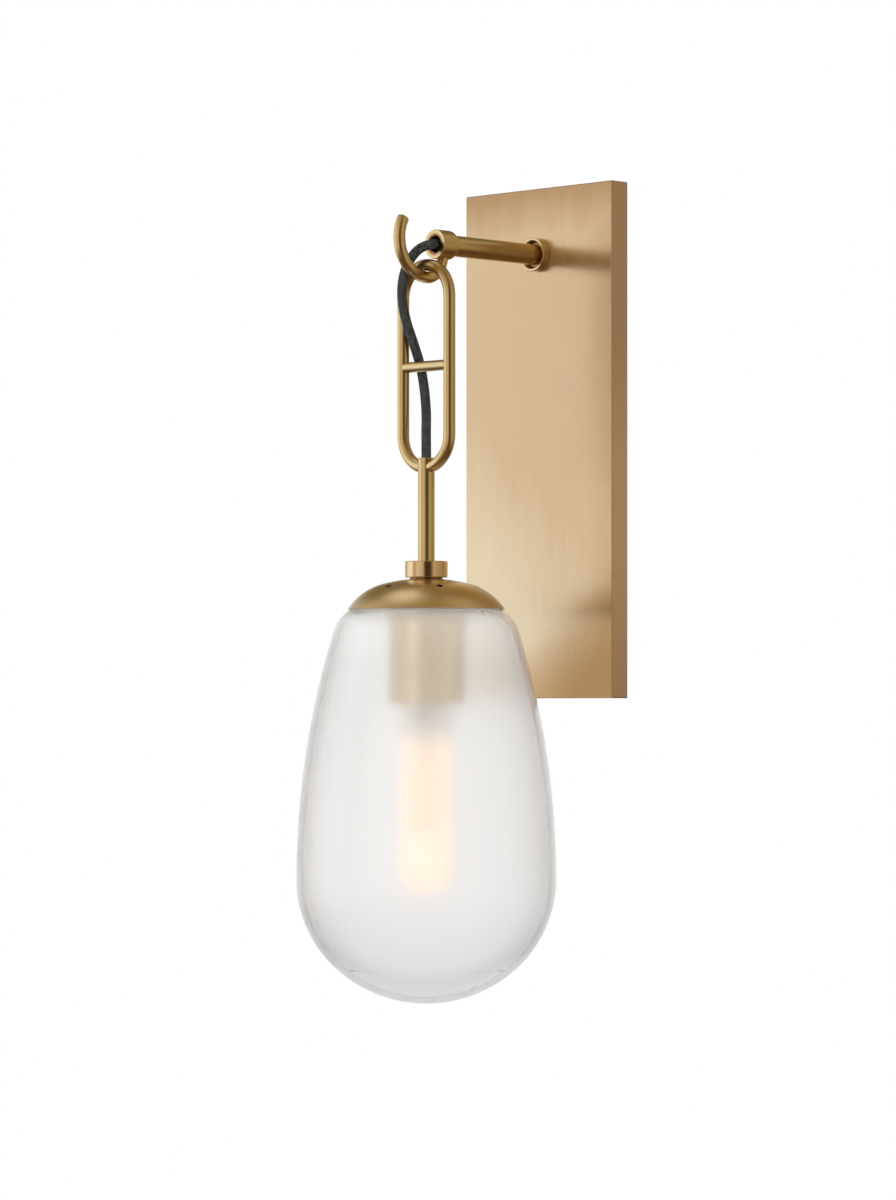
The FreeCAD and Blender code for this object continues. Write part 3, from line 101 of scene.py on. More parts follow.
def make_camera():
    data = bpy.data.cameras.new("camera")
    data.sensor_fit = "HORIZONTAL"
    data.sensor_width = SENSOR_WIDTH
    data.lens = FOCAL_PIXELS * SENSOR_WIDTH / IMAGE_WIDTH
    data.shift_y = (HORIZON_ROW - IMAGE_HEIGHT / 2) / IMAGE_WIDTH
    data.clip_start = NEAREST_SEEN
    camera = link(bpy.data.objects.new("camera", data))
    camera.location = CAMERA_PLACE
    camera.rotation_euler = (math.radians(90), 0, math.radians(CAMERA_AZIMUTH))
    bpy.context.scene.camera = camera


# The cord, first of all pieces

def smooth_line(points):
    """The points of the NURBS line that has the given ones as its control points."""
    curve = bpy.data.curves.new("cord_line", "CURVE")
    curve.dimensions = "3D"
    curve.resolution_u = LINE_STEPS
    spline = curve.splines.new("NURBS")
    spline.points.add(len(points) - 1)
    for place, point in zip(spline.points, points):
        place.co = (*point, 1)
    spline.order_u = 3
    spline.use_endpoint_u = True
    holder = bpy.data.objects.new("cord_line", curve)
    mesh = bpy.data.meshes.new_from_object(holder)
    line = np.array([vertex.co for vertex in mesh.vertices])
    bpy.data.objects.remove(holder)
    bpy.data.meshes.remove(mesh)
    bpy.data.curves.remove(curve)
    return line


def even_line(line, count):
    """The same line through evenly spaced points, and how far along it each one is."""
    steps = np.linalg.norm(np.diff(line, axis=0), axis=1)
    along = np.concatenate([[0], np.cumsum(steps)])
    wanted = np.linspace(0, along[-1], count)
    return np.stack([np.interp(wanted, along, line[:, axis]) for axis in range(3)], axis=1), wanted


def carried_frames(line):
    """A side and an upper direction at each point, turned as little as possible along the line."""
    tangents = np.gradient(line, axis=0)
    tangents /= np.linalg.norm(tangents, axis=1)[:, None]
    side = np.array([1.0, 0.0, 0.0])
    sides = []
    for tangent in tangents:
        side = side - tangent * side.dot(tangent)
        side /= np.linalg.norm(side)
        sides.append(side)
    sides = np.array(sides)
    return sides, np.cross(tangents, sides)


def strand_height(own, other):
    """How far a braided strand stands up: round across, and over or under by turns."""
    across = 2 * (own - np.floor(own)) - 1
    round_part = np.sqrt(np.clip(1 - across ** 2, 0, 1))
    weave = np.cos(math.pi * (other - 0.5 - np.floor(own)))
    return round_part * (STRAND_HEIGHT + STRAND_WEAVE * weave)


def braid_relief(angle, along, radius):
    """The height of two sets of strands that wind opposite ways round the cord and cross."""
    turns = angle / (2 * math.pi) * CORD_STRANDS
    climb = along / (2 * math.pi * radius) * CORD_STRANDS
    return np.maximum(strand_height(turns + climb, turns - climb),
                      strand_height(turns - climb + CORD_STRANDS, turns + climb + 1))


def braided_tube(line, along):
    """Points round a line, ring by ring, and how far the strands stand up at each of them."""
    sides, ups = carried_frames(line)
    radius = CORD_DIAMETER / 2
    angles = np.arange(CORD_AROUND) / CORD_AROUND * 2 * math.pi
    relief = braid_relief(angles[None, :], along[:, None], radius)
    reach = radius - BRAID_DEPTH * (1 - relief)
    outwards = (np.cos(angles)[None, :, None] * sides[:, None, :]
                + np.sin(angles)[None, :, None] * ups[:, None, :])
    return line[:, None, :] + reach[:, :, None] * outwards, relief


def tube_faces(rings, around):
    """The sides of a tube, ring by ring, and its two ends."""
    faces = []
    for low in range(0, (rings - 1) * around, around):
        high = low + around
        for step in range(around):
            after = (step + 1) % around
            faces.append((low + step, low + after, high + after, high + step))
    faces.append(tuple(reversed(range(around))))
    faces.append(tuple(range((rings - 1) * around, rings * around)))
    return faces


def make_cord():
    start = np.array([0, -REACH, ARM_RISE])
    line, along = even_line(smooth_line(np.array(CORD_ROUTE) + start), CORD_RINGS)
    points, relief = braided_tube(line, along)
    mesh = bpy.data.meshes.new("free_cord")
    mesh.from_pydata(points.reshape(-1, 3).tolist(), [], tube_faces(CORD_RINGS, CORD_AROUND))
    mesh.shade_smooth()
    weave = mesh.attributes.new("weave", "FLOAT", "POINT")
    weave.data.foreach_set("value", relief.astype(np.float32).ravel())
    mesh.materials.append(cord_cover())
    cord = link(bpy.data.objects.new("free_cord", mesh))
    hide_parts("cord")
    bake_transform(cord)


# Materials

# where most values of a noise lie
NOISE_LOW = 0.3
NOISE_HIGH = 0.7
GRAIN_RELIEF = 0.00001


class Nodes:
    """The shader nodes of a material or of the world, with short ways to add more."""

    def __init__(self, owner, output_kind):
        owner.use_nodes = True
        self.tree = owner.node_tree
        self.tree.nodes.clear()
        self.output = self.node(output_kind)

    def node(self, kind, **settings):
        made = self.tree.nodes.new(kind)
        for name, value in settings.items():
            setattr(made, name, value)
        return made

    def put(self, value, socket):
        """Feeds a socket from another one, or sets it to a plain value."""
        if isinstance(value, bpy.types.NodeSocket):
            self.tree.links.new(value, socket)
        elif isinstance(value, tuple) and len(value) == 3 and socket.type == "RGBA":
            socket.default_value = (*value, 1)
        else:
            socket.default_value = value

    def math(self, operation, first, second=0.0):
        made = self.node("ShaderNodeMath", operation=operation)
        self.put(first, made.inputs[0])
        self.put(second, made.inputs[1])
        return made.outputs[0]

    def plus(self, first, second):
        return self.math("ADD", first, second)

    def minus(self, first, second):
        return self.math("SUBTRACT", first, second)

    def times(self, first, second):
        return self.math("MULTIPLY", first, second)

    def shader(self, kind, **inputs):
        """A shader, from the names of its sockets with _ for each space."""
        made = self.node(kind)
        for name, value in inputs.items():
            self.put(value, made.inputs[name.replace("_", " ")])
        return made.outputs[0]

    def mix_shaders(self, share, first, second):
        made = self.node("ShaderNodeMixShader")
        for value, socket in zip((share, first, second), made.inputs):
            self.put(value, socket)
        return made.outputs[0]

    def show(self, shader):
        self.put(shader, self.output.inputs["Surface"])


class Finish(Nodes):
    """A material under construction."""

    def __init__(self, name):
        self.material = bpy.data.materials.new(name)
        super().__init__(self.material, "ShaderNodeOutputMaterial")
        self.place = self.coordinate("Object")

    def coordinate(self, name):
        return self.node("ShaderNodeTexCoord").outputs[name]

    def vector(self, operation, first, second=(0.0, 0.0, 0.0)):
        made = self.node("ShaderNodeVectorMath", operation=operation)
        self.put(first, made.inputs[0])
        self.put(second, made.inputs[1])
        return made.outputs["Value" if operation in ("DOT_PRODUCT", "LENGTH") else "Vector"]

    def place_from(self, point):
        """The place on the piece, counted from a point."""
        return self.vector("SUBTRACT", self.place, tuple(point))

    def split(self, vector):
        made = self.node("ShaderNodeSeparateXYZ")
        self.put(vector, made.inputs[0])
        return made.outputs

    def join(self, x, y, z):
        made = self.node("ShaderNodeCombineXYZ")
        for value, socket in zip((x, y, z), made.inputs):
            self.put(value, socket)
        return made.outputs[0]

    def noise(self, vector, scale, detail=2.0, roughness=0.5):
        """Noise over a vector that is stretched by a scale of three numbers."""
        made = self.node("ShaderNodeTexNoise")
        self.put(self.vector("MULTIPLY", vector, scale), made.inputs["Vector"])
        made.inputs["Scale"].default_value = 1
        made.inputs["Detail"].default_value = detail
        made.inputs["Roughness"].default_value = roughness
        return made.outputs["Fac"]

    def span(self, value, low, high, to_low=0.0, to_high=1.0):
        """Maps one range to another and stops at its ends."""
        made = self.node("ShaderNodeMapRange")
        for item, socket in zip((value, low, high, to_low, to_high), made.inputs):
            self.put(item, socket)
        return made.outputs[0]

    def graded(self, noise, to_low, to_high):
        """Spreads a noise over a range."""
        return self.span(noise, NOISE_LOW, NOISE_HIGH, to_low, to_high)

    def mix(self, share, first, second):
        made = self.node("ShaderNodeMix", data_type="RGBA")
        self.put(share, made.inputs["Factor"])
        self.put(first, made.inputs[6])
        self.put(second, made.inputs[7])
        return made.outputs[2]

    def scaled(self, colour, amount):
        """A colour made darker or lighter by a number."""
        made = self.node("ShaderNodeVectorMath", operation="SCALE")
        self.put(colour, made.inputs[0])
        self.put(amount, made.inputs["Scale"])
        return made.outputs["Vector"]

    def bump(self, height, distance):
        made = self.node("ShaderNodeBump")
        self.put(height, made.inputs["Height"])
        made.inputs["Distance"].default_value = distance
        return made.outputs[0]

    def surface(self, **inputs):
        """The finished material, from the names of its main shader's sockets."""
        self.show(self.shader("ShaderNodeBsdfPrincipled", **inputs))
        return self.material


def from_axis(finish, axis, centre):
    """Distance from an axis, and position along it."""
    parts = finish.split(finish.place_from(centre))
    squares = [finish.times(parts[name], parts[name]) for name in "XYZ" if name != axis]
    return finish.math("SQRT", finish.plus(*squares)), parts[axis]


def round_tangent(finish, axis):
    """The direction round an axis, for highlights that are drawn out along it."""
    return finish.node("ShaderNodeTangent", direction_type="RADIAL", axis=axis).outputs[0]


# the plate's own colour, then its painted highlight, painted shade, painted reflection and shaded
# sides
PLATE_COLOUR = (0.85, 0.67, 0.435)
PLATE_PAINTED_HIGHLIGHT = (0.98, 0.87, 0.65)
PLATE_PAINTED_SHADE = (0.60, 0.405, 0.22)
PLATE_PAINTED_REFLECTION = (0.70, 0.455, 0.210)
PLATE_SHADED_SIDE = (0.78, 0.61, 0.54)
PLATE_ROUGHNESS = (0.26, 0.34)
# how squarely a surface faces forward or back, from the plate's sides to its face
PLATE_FACING = (0.3, 0.8)
STREAKS = (650, 650, 14)
HAIRS = (2600, 2600, 45)
STREAK_SHARE = 0.6
GRAIN_SHADES = (0.94, 1.05)
BLOTCHES = (45, 45, 9)

# Zones of the plate's painted highlight, painted shade and painted reflection, in metres: where
# each one starts, and where it is full. A slant tilts a zone's edge, and blotches move it to and
# fro.
HIGHLIGHT_ZONE = (0.03, 0.115)
HIGHLIGHT_SLANT = 0.8
HIGHLIGHT_BLOTCH = 0.09
HIGHLIGHT_END = (-0.155, -0.095)
CORNER_ZONE = (-0.120, -0.170)
CORNER_SLANT = 0.6
TOP_ZONE = (0.128, 0.156)
TOP_BLOTCH = 0.025
RIGHT_ZONE = (0.041, 0.067)
RIGHT_BLOTCH = 0.03
MIDDLE_HEIGHT = -0.045
MIDDLE_ZONE = (0.11, 0.03)
# how much painted shade the right edge gets outside the middle zone, and inside it
RIGHT_SHADE_RANGE = (0.65, 0.26)
# painted light on the sides, outside the middle zone and inside it
SIDE_PAINTED_LIGHT = (1.0, 1.25)


def plate_colour(finish):
    """Painted highlight low left, painted shade at the top and right, painted reflection low
    right.
    """
    blotches = finish.minus(finish.noise(finish.place, BLOTCHES, detail=4, roughness=0.6), 0.5)
    parts = finish.split(finish.place)
    x, z = parts["X"], parts["Z"]
    up_right = finish.plus(z, finish.times(x, HIGHLIGHT_SLANT))
    low_left = finish.minus(finish.times(blotches, HIGHLIGHT_BLOTCH), up_right)
    above_corner = finish.minus(z, finish.times(x, CORNER_SLANT))
    # share of the painted highlight, low on the left
    pale = finish.times(finish.span(low_left, *HIGHLIGHT_ZONE), finish.span(above_corner, *HIGHLIGHT_END))
    top = finish.plus(z, finish.times(blotches, TOP_BLOTCH))
    right = finish.plus(x, finish.times(blotches, RIGHT_BLOTCH))
    middle = finish.span(finish.math("ABSOLUTE", finish.minus(z, MIDDLE_HEIGHT)), *MIDDLE_ZONE)
    # painted shade along the right edge and at the top; less of it in the middle zone on the right
    right_shade_share = finish.span(middle, 0.0, 1.0, *RIGHT_SHADE_RANGE)
    edge = finish.times(finish.span(right, *RIGHT_ZONE), right_shade_share)
    warmth = finish.math("MAXIMUM", finish.span(top, *TOP_ZONE), edge)
    face = finish.mix(warmth, finish.mix(pale, PLATE_COLOUR, PLATE_PAINTED_HIGHLIGHT), PLATE_PAINTED_SHADE)
    # painted reflection at the lower right corner
    face = finish.mix(finish.span(above_corner, *CORNER_ZONE), face, PLATE_PAINTED_REFLECTION)
    # painted shade on the sides, lighter in the middle zone
    side = finish.scaled(PLATE_SHADED_SIDE, finish.span(middle, 0.0, 1.0, *SIDE_PAINTED_LIGHT))
    facing = finish.math("ABSOLUTE", finish.split(finish.coordinate("Normal"))["Y"])
    return finish.mix(finish.span(facing, *PLATE_FACING), side, face)


def plate_brass():
    """Brass that is brushed from top to bottom."""
    finish = Finish("plate_brass")
    streaks = finish.noise(finish.place, STREAKS, detail=4, roughness=0.6)
    hairs = finish.noise(finish.place, HAIRS, detail=3, roughness=0.6)
    grain = finish.plus(finish.times(streaks, STREAK_SHARE), finish.times(hairs, 1 - STREAK_SHARE))
    return finish.surface(
        Base_Color=finish.scaled(plate_colour(finish), finish.graded(grain, *GRAIN_SHADES)),
        Metallic=1.0,
        Roughness=finish.graded(grain, *PLATE_ROUGHNESS),
        Anisotropic=0.9,
        Tangent=round_tangent(finish, "Z"),
        Normal=finish.bump(grain, GRAIN_RELIEF),
        Coat_Weight=0.12,
        Coat_Roughness=0.2,
    )


BRASS_COLOUR = (0.82, 0.68, 0.39)
BRASS_WARM = (0.76, 0.60, 0.31)
COLLAR_COLOUR = (0.86, 0.70, 0.47)
COLLAR_WARM = (0.83, 0.65, 0.41)
CUP_COLOUR = (0.61, 0.46, 0.235)
CUP_WARM = (0.55, 0.40, 0.19)
# a painted shadow for the gap under the collar
WASHER_PAINTED_SHADE = (0.30, 0.19, 0.10)
STAINS = (35, 35, 28)
STAIN_RANGE = (0.35, 0.75)
LATHE_MARKS = (1500, 1, 1500)
ROD_MARKS = (700, 700, 260)
MARK_SHADES = (0.975, 1.02)
MARK_ROUGHNESS = (-0.008, 0.01)
SPUN_STRETCH = 0.3
QUARTER_TURN = 0.25
LACQUER = 0.25
LACQUER_ROUGHNESS = 0.14


def satin_brass(name, marks_of, roughness, light=BRASS_COLOUR, warm=BRASS_WARM, spun_round=None,
                painted_shade_masks=(), lacquer=LACQUER):
    """Lacquered brass with marks that follow how the piece was made, and painted shade from its
    masks.
    """
    finish, marks = marks_of(name)
    spun = {}
    if spun_round:
        spun = {"Anisotropic": SPUN_STRETCH, "Anisotropic_Rotation": QUARTER_TURN,
                "Tangent": round_tangent(finish, spun_round)}
    rough = [roughness + change for change in MARK_ROUGHNESS]
    stain = finish.span(finish.noise(finish.place, STAINS, detail=4), *STAIN_RANGE)
    colour = finish.scaled(finish.mix(stain, light, warm), finish.graded(marks, *MARK_SHADES))
    # painted shade, wherever each mask puts it
    for share_of, inside in painted_shade_masks:
        colour = finish.mix(share_of(finish), colour, inside)
    return finish.surface(
        Base_Color=colour,
        Metallic=1.0,
        Roughness=finish.graded(marks, *rough),
        Coat_Weight=lacquer,
        Coat_Roughness=LACQUER_ROUGHNESS,
        **spun,
    )


def lathe_marks(axis, centre):
    """Fine rings round an axis, for turned and spun pieces."""
    def marks(name):
        finish = Finish(name)
        distance, along = from_axis(finish, axis, centre)
        place = finish.join(distance, 0.0, along)
        return finish, finish.noise(place, LATHE_MARKS, detail=3, roughness=0.6)
    return marks


def rod_marks(name):
    """Fine polish marks, for bent rod."""
    finish = Finish(name)
    return finish, finish.noise(finish.place, ROD_MARKS, detail=3, roughness=0.6)


PENDANT_MARKS = lathe_marks("Z", PENDANT)
ARM_MARKS = lathe_marks("Y", ARM)

# Painted shade in the cap's vents, on the cap's side towards the wall, on the link's arc, in the
# arm's bore and in the flange's recess. An edge is where one starts to show, and where it is full.

VENTS = 6
VENT_RING = 0.032
VENT_RADIUS = 0.0018
VENT_EDGE = (VENT_RADIUS + 0.00015, VENT_RADIUS + 0.00005)
VENT_PAINTED_SHADE = (0.05, 0.032, 0.018)
CAP_PAINTED_SHADE = (0.16, 0.09, 0.03)
CAP_SHADED_SIDE = (0.7071, 0.7071, 0.0)
CAP_SHADE_EDGE = (0.74, 0.98)
CAP_SHADE_SHARE = 0.65
ARC_PAINTED_SHADE = (0.50, 0.34, 0.13)
ARC_EDGE = (LINK_TOP - 0.024, LINK_TOP - 0.006)
ARC_SHARE = 0.8
# from the arm's axis
BORE_EDGE = (0.0073, 0.0063)
RECESS_EDGE = (0.0087, 0.0079)
BORE_PAINTED_SHADE = (0.42, 0.21, 0.12)
RECESS_PAINTED_SHADE = (0.40, 0.23, 0.12)


def in_a_vent(finish):
    """1 where the holes of the cap get painted shade, by the distance from the nearest one's
    middle.
    """
    x, y = finish.split(finish.place_from(PENDANT))[:2]
    radius = from_axis(finish, "Z", PENDANT)[0]
    turn = finish.times(finish.math("ARCTAN2", x, finish.times(y, -1.0)), VENTS / (2 * math.pi))
    beside = finish.minus(finish.math("FRACT", finish.plus(turn, 0.5)), 0.5)
    angle = finish.times(beside, 2 * math.pi / VENTS)
    across = finish.times(radius, finish.math("SINE", angle))
    along = finish.minus(finish.times(radius, finish.math("COSINE", angle)), VENT_RING)
    return finish.span(finish.vector("LENGTH", finish.join(across, along, 0.0)), *VENT_EDGE)


def near_the_wall(finish):
    """Painted shade on the cap's side that is turned to the wall and to the right."""
    side = finish.vector("MULTIPLY", finish.place_from(PENDANT), (1.0, 1.0, 0.0))
    turned = finish.vector("DOT_PRODUCT", finish.vector("NORMALIZE", side), CAP_SHADED_SIDE)
    return finish.span(turned, *CAP_SHADE_EDGE, 0.0, CAP_SHADE_SHARE)


def in_the_bore(finish):
    """1 for painted shade inside the arm and at the inner edge of its mouth."""
    return finish.span(from_axis(finish, "Y", ARM)[0], *BORE_EDGE)


def in_the_recess(finish):
    """1 for painted shade in the flange's recess, round the foot of the arm."""
    return finish.span(from_axis(finish, "Y", ARM)[0], *RECESS_EDGE)


def on_the_arc(finish):
    """Painted shade on the link's upper arc, where it hangs on the hook."""
    return finish.span(finish.split(finish.place)["Z"], *ARC_EDGE, 0.0, ARC_SHARE)


def cap_brass():
    return satin_brass("cap_brass", PENDANT_MARKS, 0.29, spun_round="Z",
                       painted_shade_masks=[(near_the_wall, CAP_PAINTED_SHADE), (in_a_vent, VENT_PAINTED_SHADE)])


def cup_brass():
    return satin_brass("cup_brass", PENDANT_MARKS, 0.33, CUP_COLOUR, CUP_WARM)


# the collar's washer carries a painted shadow for the gap under the collar
def washer_brass():
    return satin_brass("washer_brass", PENDANT_MARKS, 0.30, WASHER_PAINTED_SHADE, WASHER_PAINTED_SHADE)


def collar_brass():
    return satin_brass("collar_brass", PENDANT_MARKS, 0.18, COLLAR_COLOUR, COLLAR_WARM)


def pendant_brass():
    return satin_brass("pendant_brass", PENDANT_MARKS, 0.29, spun_round="Z")


def arm_brass():
    return satin_brass("arm_brass", ARM_MARKS, 0.22, spun_round="Y")


def flange_brass():
    return satin_brass("flange_brass", ARM_MARKS, 0.24,
                       painted_shade_masks=[(in_the_recess, RECESS_PAINTED_SHADE)], lacquer=0.12)


def ferrule_brass():
    return satin_brass("ferrule_brass", ARM_MARKS, 0.22, spun_round="Y",
                       painted_shade_masks=[(in_the_bore, BORE_PAINTED_SHADE)], lacquer=0.08)


def link_brass():
    return satin_brass("link_brass", rod_marks, 0.28, painted_shade_masks=[(on_the_arc, ARC_PAINTED_SHADE)])


def rod_brass():
    return satin_brass("rod_brass", rod_marks, 0.28)


# Plain materials

PATCH_SCALE = 1 / 14
PATCH_SHARE = 0.5
MOTTLE_RANGE = (0.35, 0.65)
GRAIN_ROUGHNESS = (-0.05, 0.06)


def grainy(name, colour, dark, roughness, metallic=0.0, scale=700, **extra):
    """A plain material with fine grain in its colour, its gloss and its surface."""
    finish = Finish(name)
    grain = finish.noise(finish.place, (scale,) * 3, detail=4, roughness=0.6)
    patches = finish.noise(finish.place, (scale * PATCH_SCALE,) * 3, detail=3)
    share = finish.plus(finish.times(grain, 1 - PATCH_SHARE), finish.times(patches, PATCH_SHARE))
    rough = [roughness + change for change in GRAIN_ROUGHNESS]
    return finish.surface(
        Base_Color=finish.mix(finish.span(share, *MOTTLE_RANGE), colour, dark),
        Metallic=metallic,
        Roughness=finish.graded(grain, *rough),
        Normal=finish.bump(grain, GRAIN_RELIEF),
        **extra,
    )


def zinc_steel():
    return grainy("zinc_steel", (0.62, 0.63, 0.64), (0.50, 0.52, 0.55), 0.34, metallic=1.0)


def ground_green():
    return grainy("ground_green", (0.06, 0.30, 0.10), (0.04, 0.22, 0.07), 0.32, metallic=0.6)


CORD_DARK = (0.004, 0.0045, 0.005)
CORD_PAINTED_SHEEN = (0.40, 0.41, 0.40)
CORD_ROUGHNESS = (0.6, 0.8)
THREADS = (5200, 5200, 2600)
THREAD_RELIEF = 0.00003
THREAD_SHADES = (0.0, 0.06)
FLECKS = (1200, 1200, 900)
FLECK_RANGE = (0.48, 0.60)
FLECK_LEAST = 0.08
STRAND_BACK = (0.68, 0.92)


def cord_cover():
    """Black yarn with a painted sheen, in flecks, on the strands' backs and not in the gaps
    between them.
    """
    finish = Finish("cord_cover")
    threads = finish.noise(finish.place, THREADS, detail=3, roughness=0.7)
    weave = finish.node("ShaderNodeAttribute", attribute_name="weave").outputs["Fac"]
    flecks = finish.noise(finish.place, FLECKS, detail=1)
    fleck_share = finish.span(flecks, *FLECK_RANGE, FLECK_LEAST, 1.0)
    # painted sheen on the strands' backs, in flecks
    backs = finish.times(finish.span(weave, *STRAND_BACK), fleck_share)
    painted_sheen_and_grain = finish.plus(backs, finish.graded(threads, *THREAD_SHADES))
    return finish.surface(
        Base_Color=finish.mix(painted_sheen_and_grain, CORD_DARK, CORD_PAINTED_SHEEN),
        Roughness=finish.graded(threads, *CORD_ROUGHNESS),
        Sheen_Weight=0.12,
        Sheen_Roughness=0.45,
        Normal=finish.bump(threads, THREAD_RELIEF),
    )


def wire_black():
    return grainy("wire_black", (0.018, 0.018, 0.020), (0.03, 0.03, 0.032), 0.42)


def wire_white():
    return grainy("wire_white", (0.80, 0.80, 0.77), (0.72, 0.72, 0.69), 0.42)


def wire_green():
    return grainy("wire_green", (0.04, 0.26, 0.07), (0.03, 0.20, 0.05), 0.42)


def connector_plastic():
    return grainy("connector_plastic", (0.82, 0.28, 0.04), (0.70, 0.22, 0.03), 0.36)


def socket_metal():
    return grainy("socket_metal", (0.72, 0.52, 0.26), (0.60, 0.42, 0.19), 0.30, metallic=1.0)


SHELL_COLOUR = (0.80, 0.80, 0.78)
SHELL_DARK = (0.68, 0.68, 0.67)
SHELL_GRAIN = (800, 800, 800)
SHELL_ROUGHNESS = (0.24, 0.34)
THREAD_PITCH = 0.0036
RIDGE_RELIEF = 0.0004


def shell_metal():
    """Aluminium with the fine ridges of a lamp thread."""
    finish = Finish("shell_metal")
    x, y, z = finish.split(finish.place_from(PENDANT))
    turn = finish.math("DIVIDE", finish.math("ARCTAN2", y, x), 2 * math.pi)
    climb = finish.plus(finish.math("DIVIDE", z, THREAD_PITCH), turn)
    ridge = finish.math("SINE", finish.times(climb, 2 * math.pi))
    grain = finish.noise(finish.place, SHELL_GRAIN, detail=3)
    return finish.surface(
        Base_Color=finish.mix(finish.span(grain, *MOTTLE_RANGE), SHELL_COLOUR, SHELL_DARK),
        Metallic=1.0,
        Roughness=finish.graded(grain, *SHELL_ROUGHNESS),
        Normal=finish.bump(ridge, RIDGE_RELIEF),
    )


def porcelain():
    return grainy("porcelain", (0.86, 0.84, 0.79), (0.80, 0.78, 0.73), 0.14, scale=300,
                  Coat_Weight=0.4, Coat_Roughness=0.05)


def bulb_insulator():
    return grainy("bulb_insulator", (0.015, 0.013, 0.016), (0.025, 0.02, 0.026), 0.12)


# The glass: the outer face is clear and the inner face etched, and a painted glow on the etched
# face stands in for the lamp's light scattered in it, brighter just under the cap

GLASS_MIDDLE = Vector((0, -REACH, (GLASS_LOW + GLASS_TOP) / 2))
GLASS_COLOUR = (0.995, 0.995, 0.995)
GLASS_COAT = 0.5
ETCH_CLOUD = (18, 18, 18)
ETCH_ROUGHNESS = (0.32, 0.36)
ETCH_CLEARNESS = 0.72
ETCH_GLOW = 0.057
ETCH_GLOW_TOP = 0.13
ETCH_GLOW_RISE = (GLASS_TOP - 0.04, GLASS_TOP - 0.012)
ETCH_GLOW_COLOUR = (0.98, 0.99, 1.0)


def on_the_inside(finish):
    """1 on the inner face of the glass and 0 on its outer face."""
    geometry = finish.node("ShaderNodeNewGeometry")
    facing = finish.minus(1.0, finish.times(geometry.outputs["Backfacing"], 2.0))
    turned = finish.node("ShaderNodeVectorTransform", vector_type="NORMAL",
                    convert_from="WORLD", convert_to="OBJECT")
    finish.put(geometry.outputs["True Normal"], turned.inputs[0])
    outwards = finish.vector("DOT_PRODUCT", turned.outputs[0], finish.place_from(GLASS_MIDDLE))
    return finish.math("LESS_THAN", finish.times(outwards, facing), 0.0)


def shade_glass():
    finish = Finish("shade_glass")
    etched = on_the_inside(finish)
    cloud = finish.noise(finish.place, ETCH_CLOUD, detail=3)
    # painted glow on the etched face, brighter just under the cap
    glow = finish.span(finish.split(finish.place)["Z"], *ETCH_GLOW_RISE, ETCH_GLOW, ETCH_GLOW_TOP)
    return finish.surface(
        Base_Color=GLASS_COLOUR,
        Roughness=finish.times(etched, finish.graded(cloud, *ETCH_ROUGHNESS)),
        IOR=1.5,
        Transmission_Weight=finish.minus(1.0, finish.times(etched, 1 - ETCH_CLEARNESS)),
        Coat_Weight=finish.times(finish.minus(1.0, etched), GLASS_COAT),
        Coat_Roughness=0.0,
        Emission_Color=ETCH_GLOW_COLOUR,
        Emission_Strength=finish.times(etched, glow),
    )


BULB_COLOUR = (0.97, 0.94, 0.89)
BULB_NECK = (0.98, 0.96, 0.93)
BULB_NECK_GLOW = 0.09
BULB_BODY = (1.0, 0.74, 0.50)
BULB_BODY_GLOW = 0.235
BULB_NECK_EDGE = (BULB_TOP - 0.0207, BULB_TOP - 0.0307)


def bulb_glass():
    """Etched white glass that glows, and warmly so below its neck."""
    finish = Finish("bulb_glass")
    warmth = finish.span(finish.split(finish.place)["Z"], *BULB_NECK_EDGE)
    return finish.surface(
        Base_Color=BULB_COLOUR,
        Roughness=0.3,
        IOR=1.45,
        Transmission_Weight=0.7,
        Emission_Color=finish.mix(warmth, BULB_NECK, BULB_BODY),
        Emission_Strength=finish.span(warmth, 0.0, 1.0, BULB_NECK_GLOW, BULB_BODY_GLOW),
    )


def filament():
    return grainy("filament", (0.62, 0.36, 0.12), (0.52, 0.29, 0.09), 0.5, scale=1500,
                  Emission_Color=(1.0, 0.55, 0.20), Emission_Strength=0.08)


def bulb_mount_glass():
    return grainy("bulb_mount_glass", (0.62, 0.50, 0.36), (0.55, 0.43, 0.30), 0.3)


# each of these is named after its slot
SLOT_FINISHES = (
    zinc_steel, ground_green, cord_cover, wire_black, wire_white, wire_green, connector_plastic,
    shade_glass, socket_metal, shell_metal, porcelain, bulb_glass, bulb_insulator, filament,
)
PIECE_FINISHES = {
    arm_brass: ("flange_washer", "arm_tube"),
    flange_brass: ("arm_flange",),
    ferrule_brass: ("ferrule",),
    rod_brass: ("hook", "link_crossbar", "set_screws"),
    link_brass: ("link",),
    collar_brass: ("collar",),
    washer_brass: ("collar_washer",),
    cap_brass: ("cap",),
    cup_brass: ("socket_cup",),
    plate_brass: ("backplate",),
    bulb_mount_glass: ("bulb_mount",),
}


def finish_nodes():
    by_slot = {build.__name__: build() for build in SLOT_FINISHES}
    by_piece = {}
    for build, names in PIECE_FINISHES.items():
        by_piece.update(dict.fromkeys(names, build()))
    other_brass = pendant_brass()
    for name, item in nodes.items():
        slot = item.data.materials[0].name
        item.data.materials[0] = by_piece.get(name) or by_slot.get(slot) or other_brass


# Light and surroundings

STUDIO_MIDDLE = Vector((0, -0.08, -0.09))
WORLD_LIGHT = (0.5, 0.5, 0.5)
WHITE = (1.0, 1.0, 1.0)
FLOOR_LEVEL = -1.0
FLOOR_RADIUS = 3.2
FLOOR_STEPS = 96
FLOOR_COLOUR = (0.80, 0.80, 0.80)
FLOOR_FADE = (FLOOR_RADIUS * 0.35, FLOOR_RADIUS * 0.95)
FLOOR_PALENESS = 0.4
DOME_RADIUS = 2.2
DOME_AROUND = 96
DOME_RINGS = 48

# Here an azimuth is counted in degrees from the camera's side, to its right.

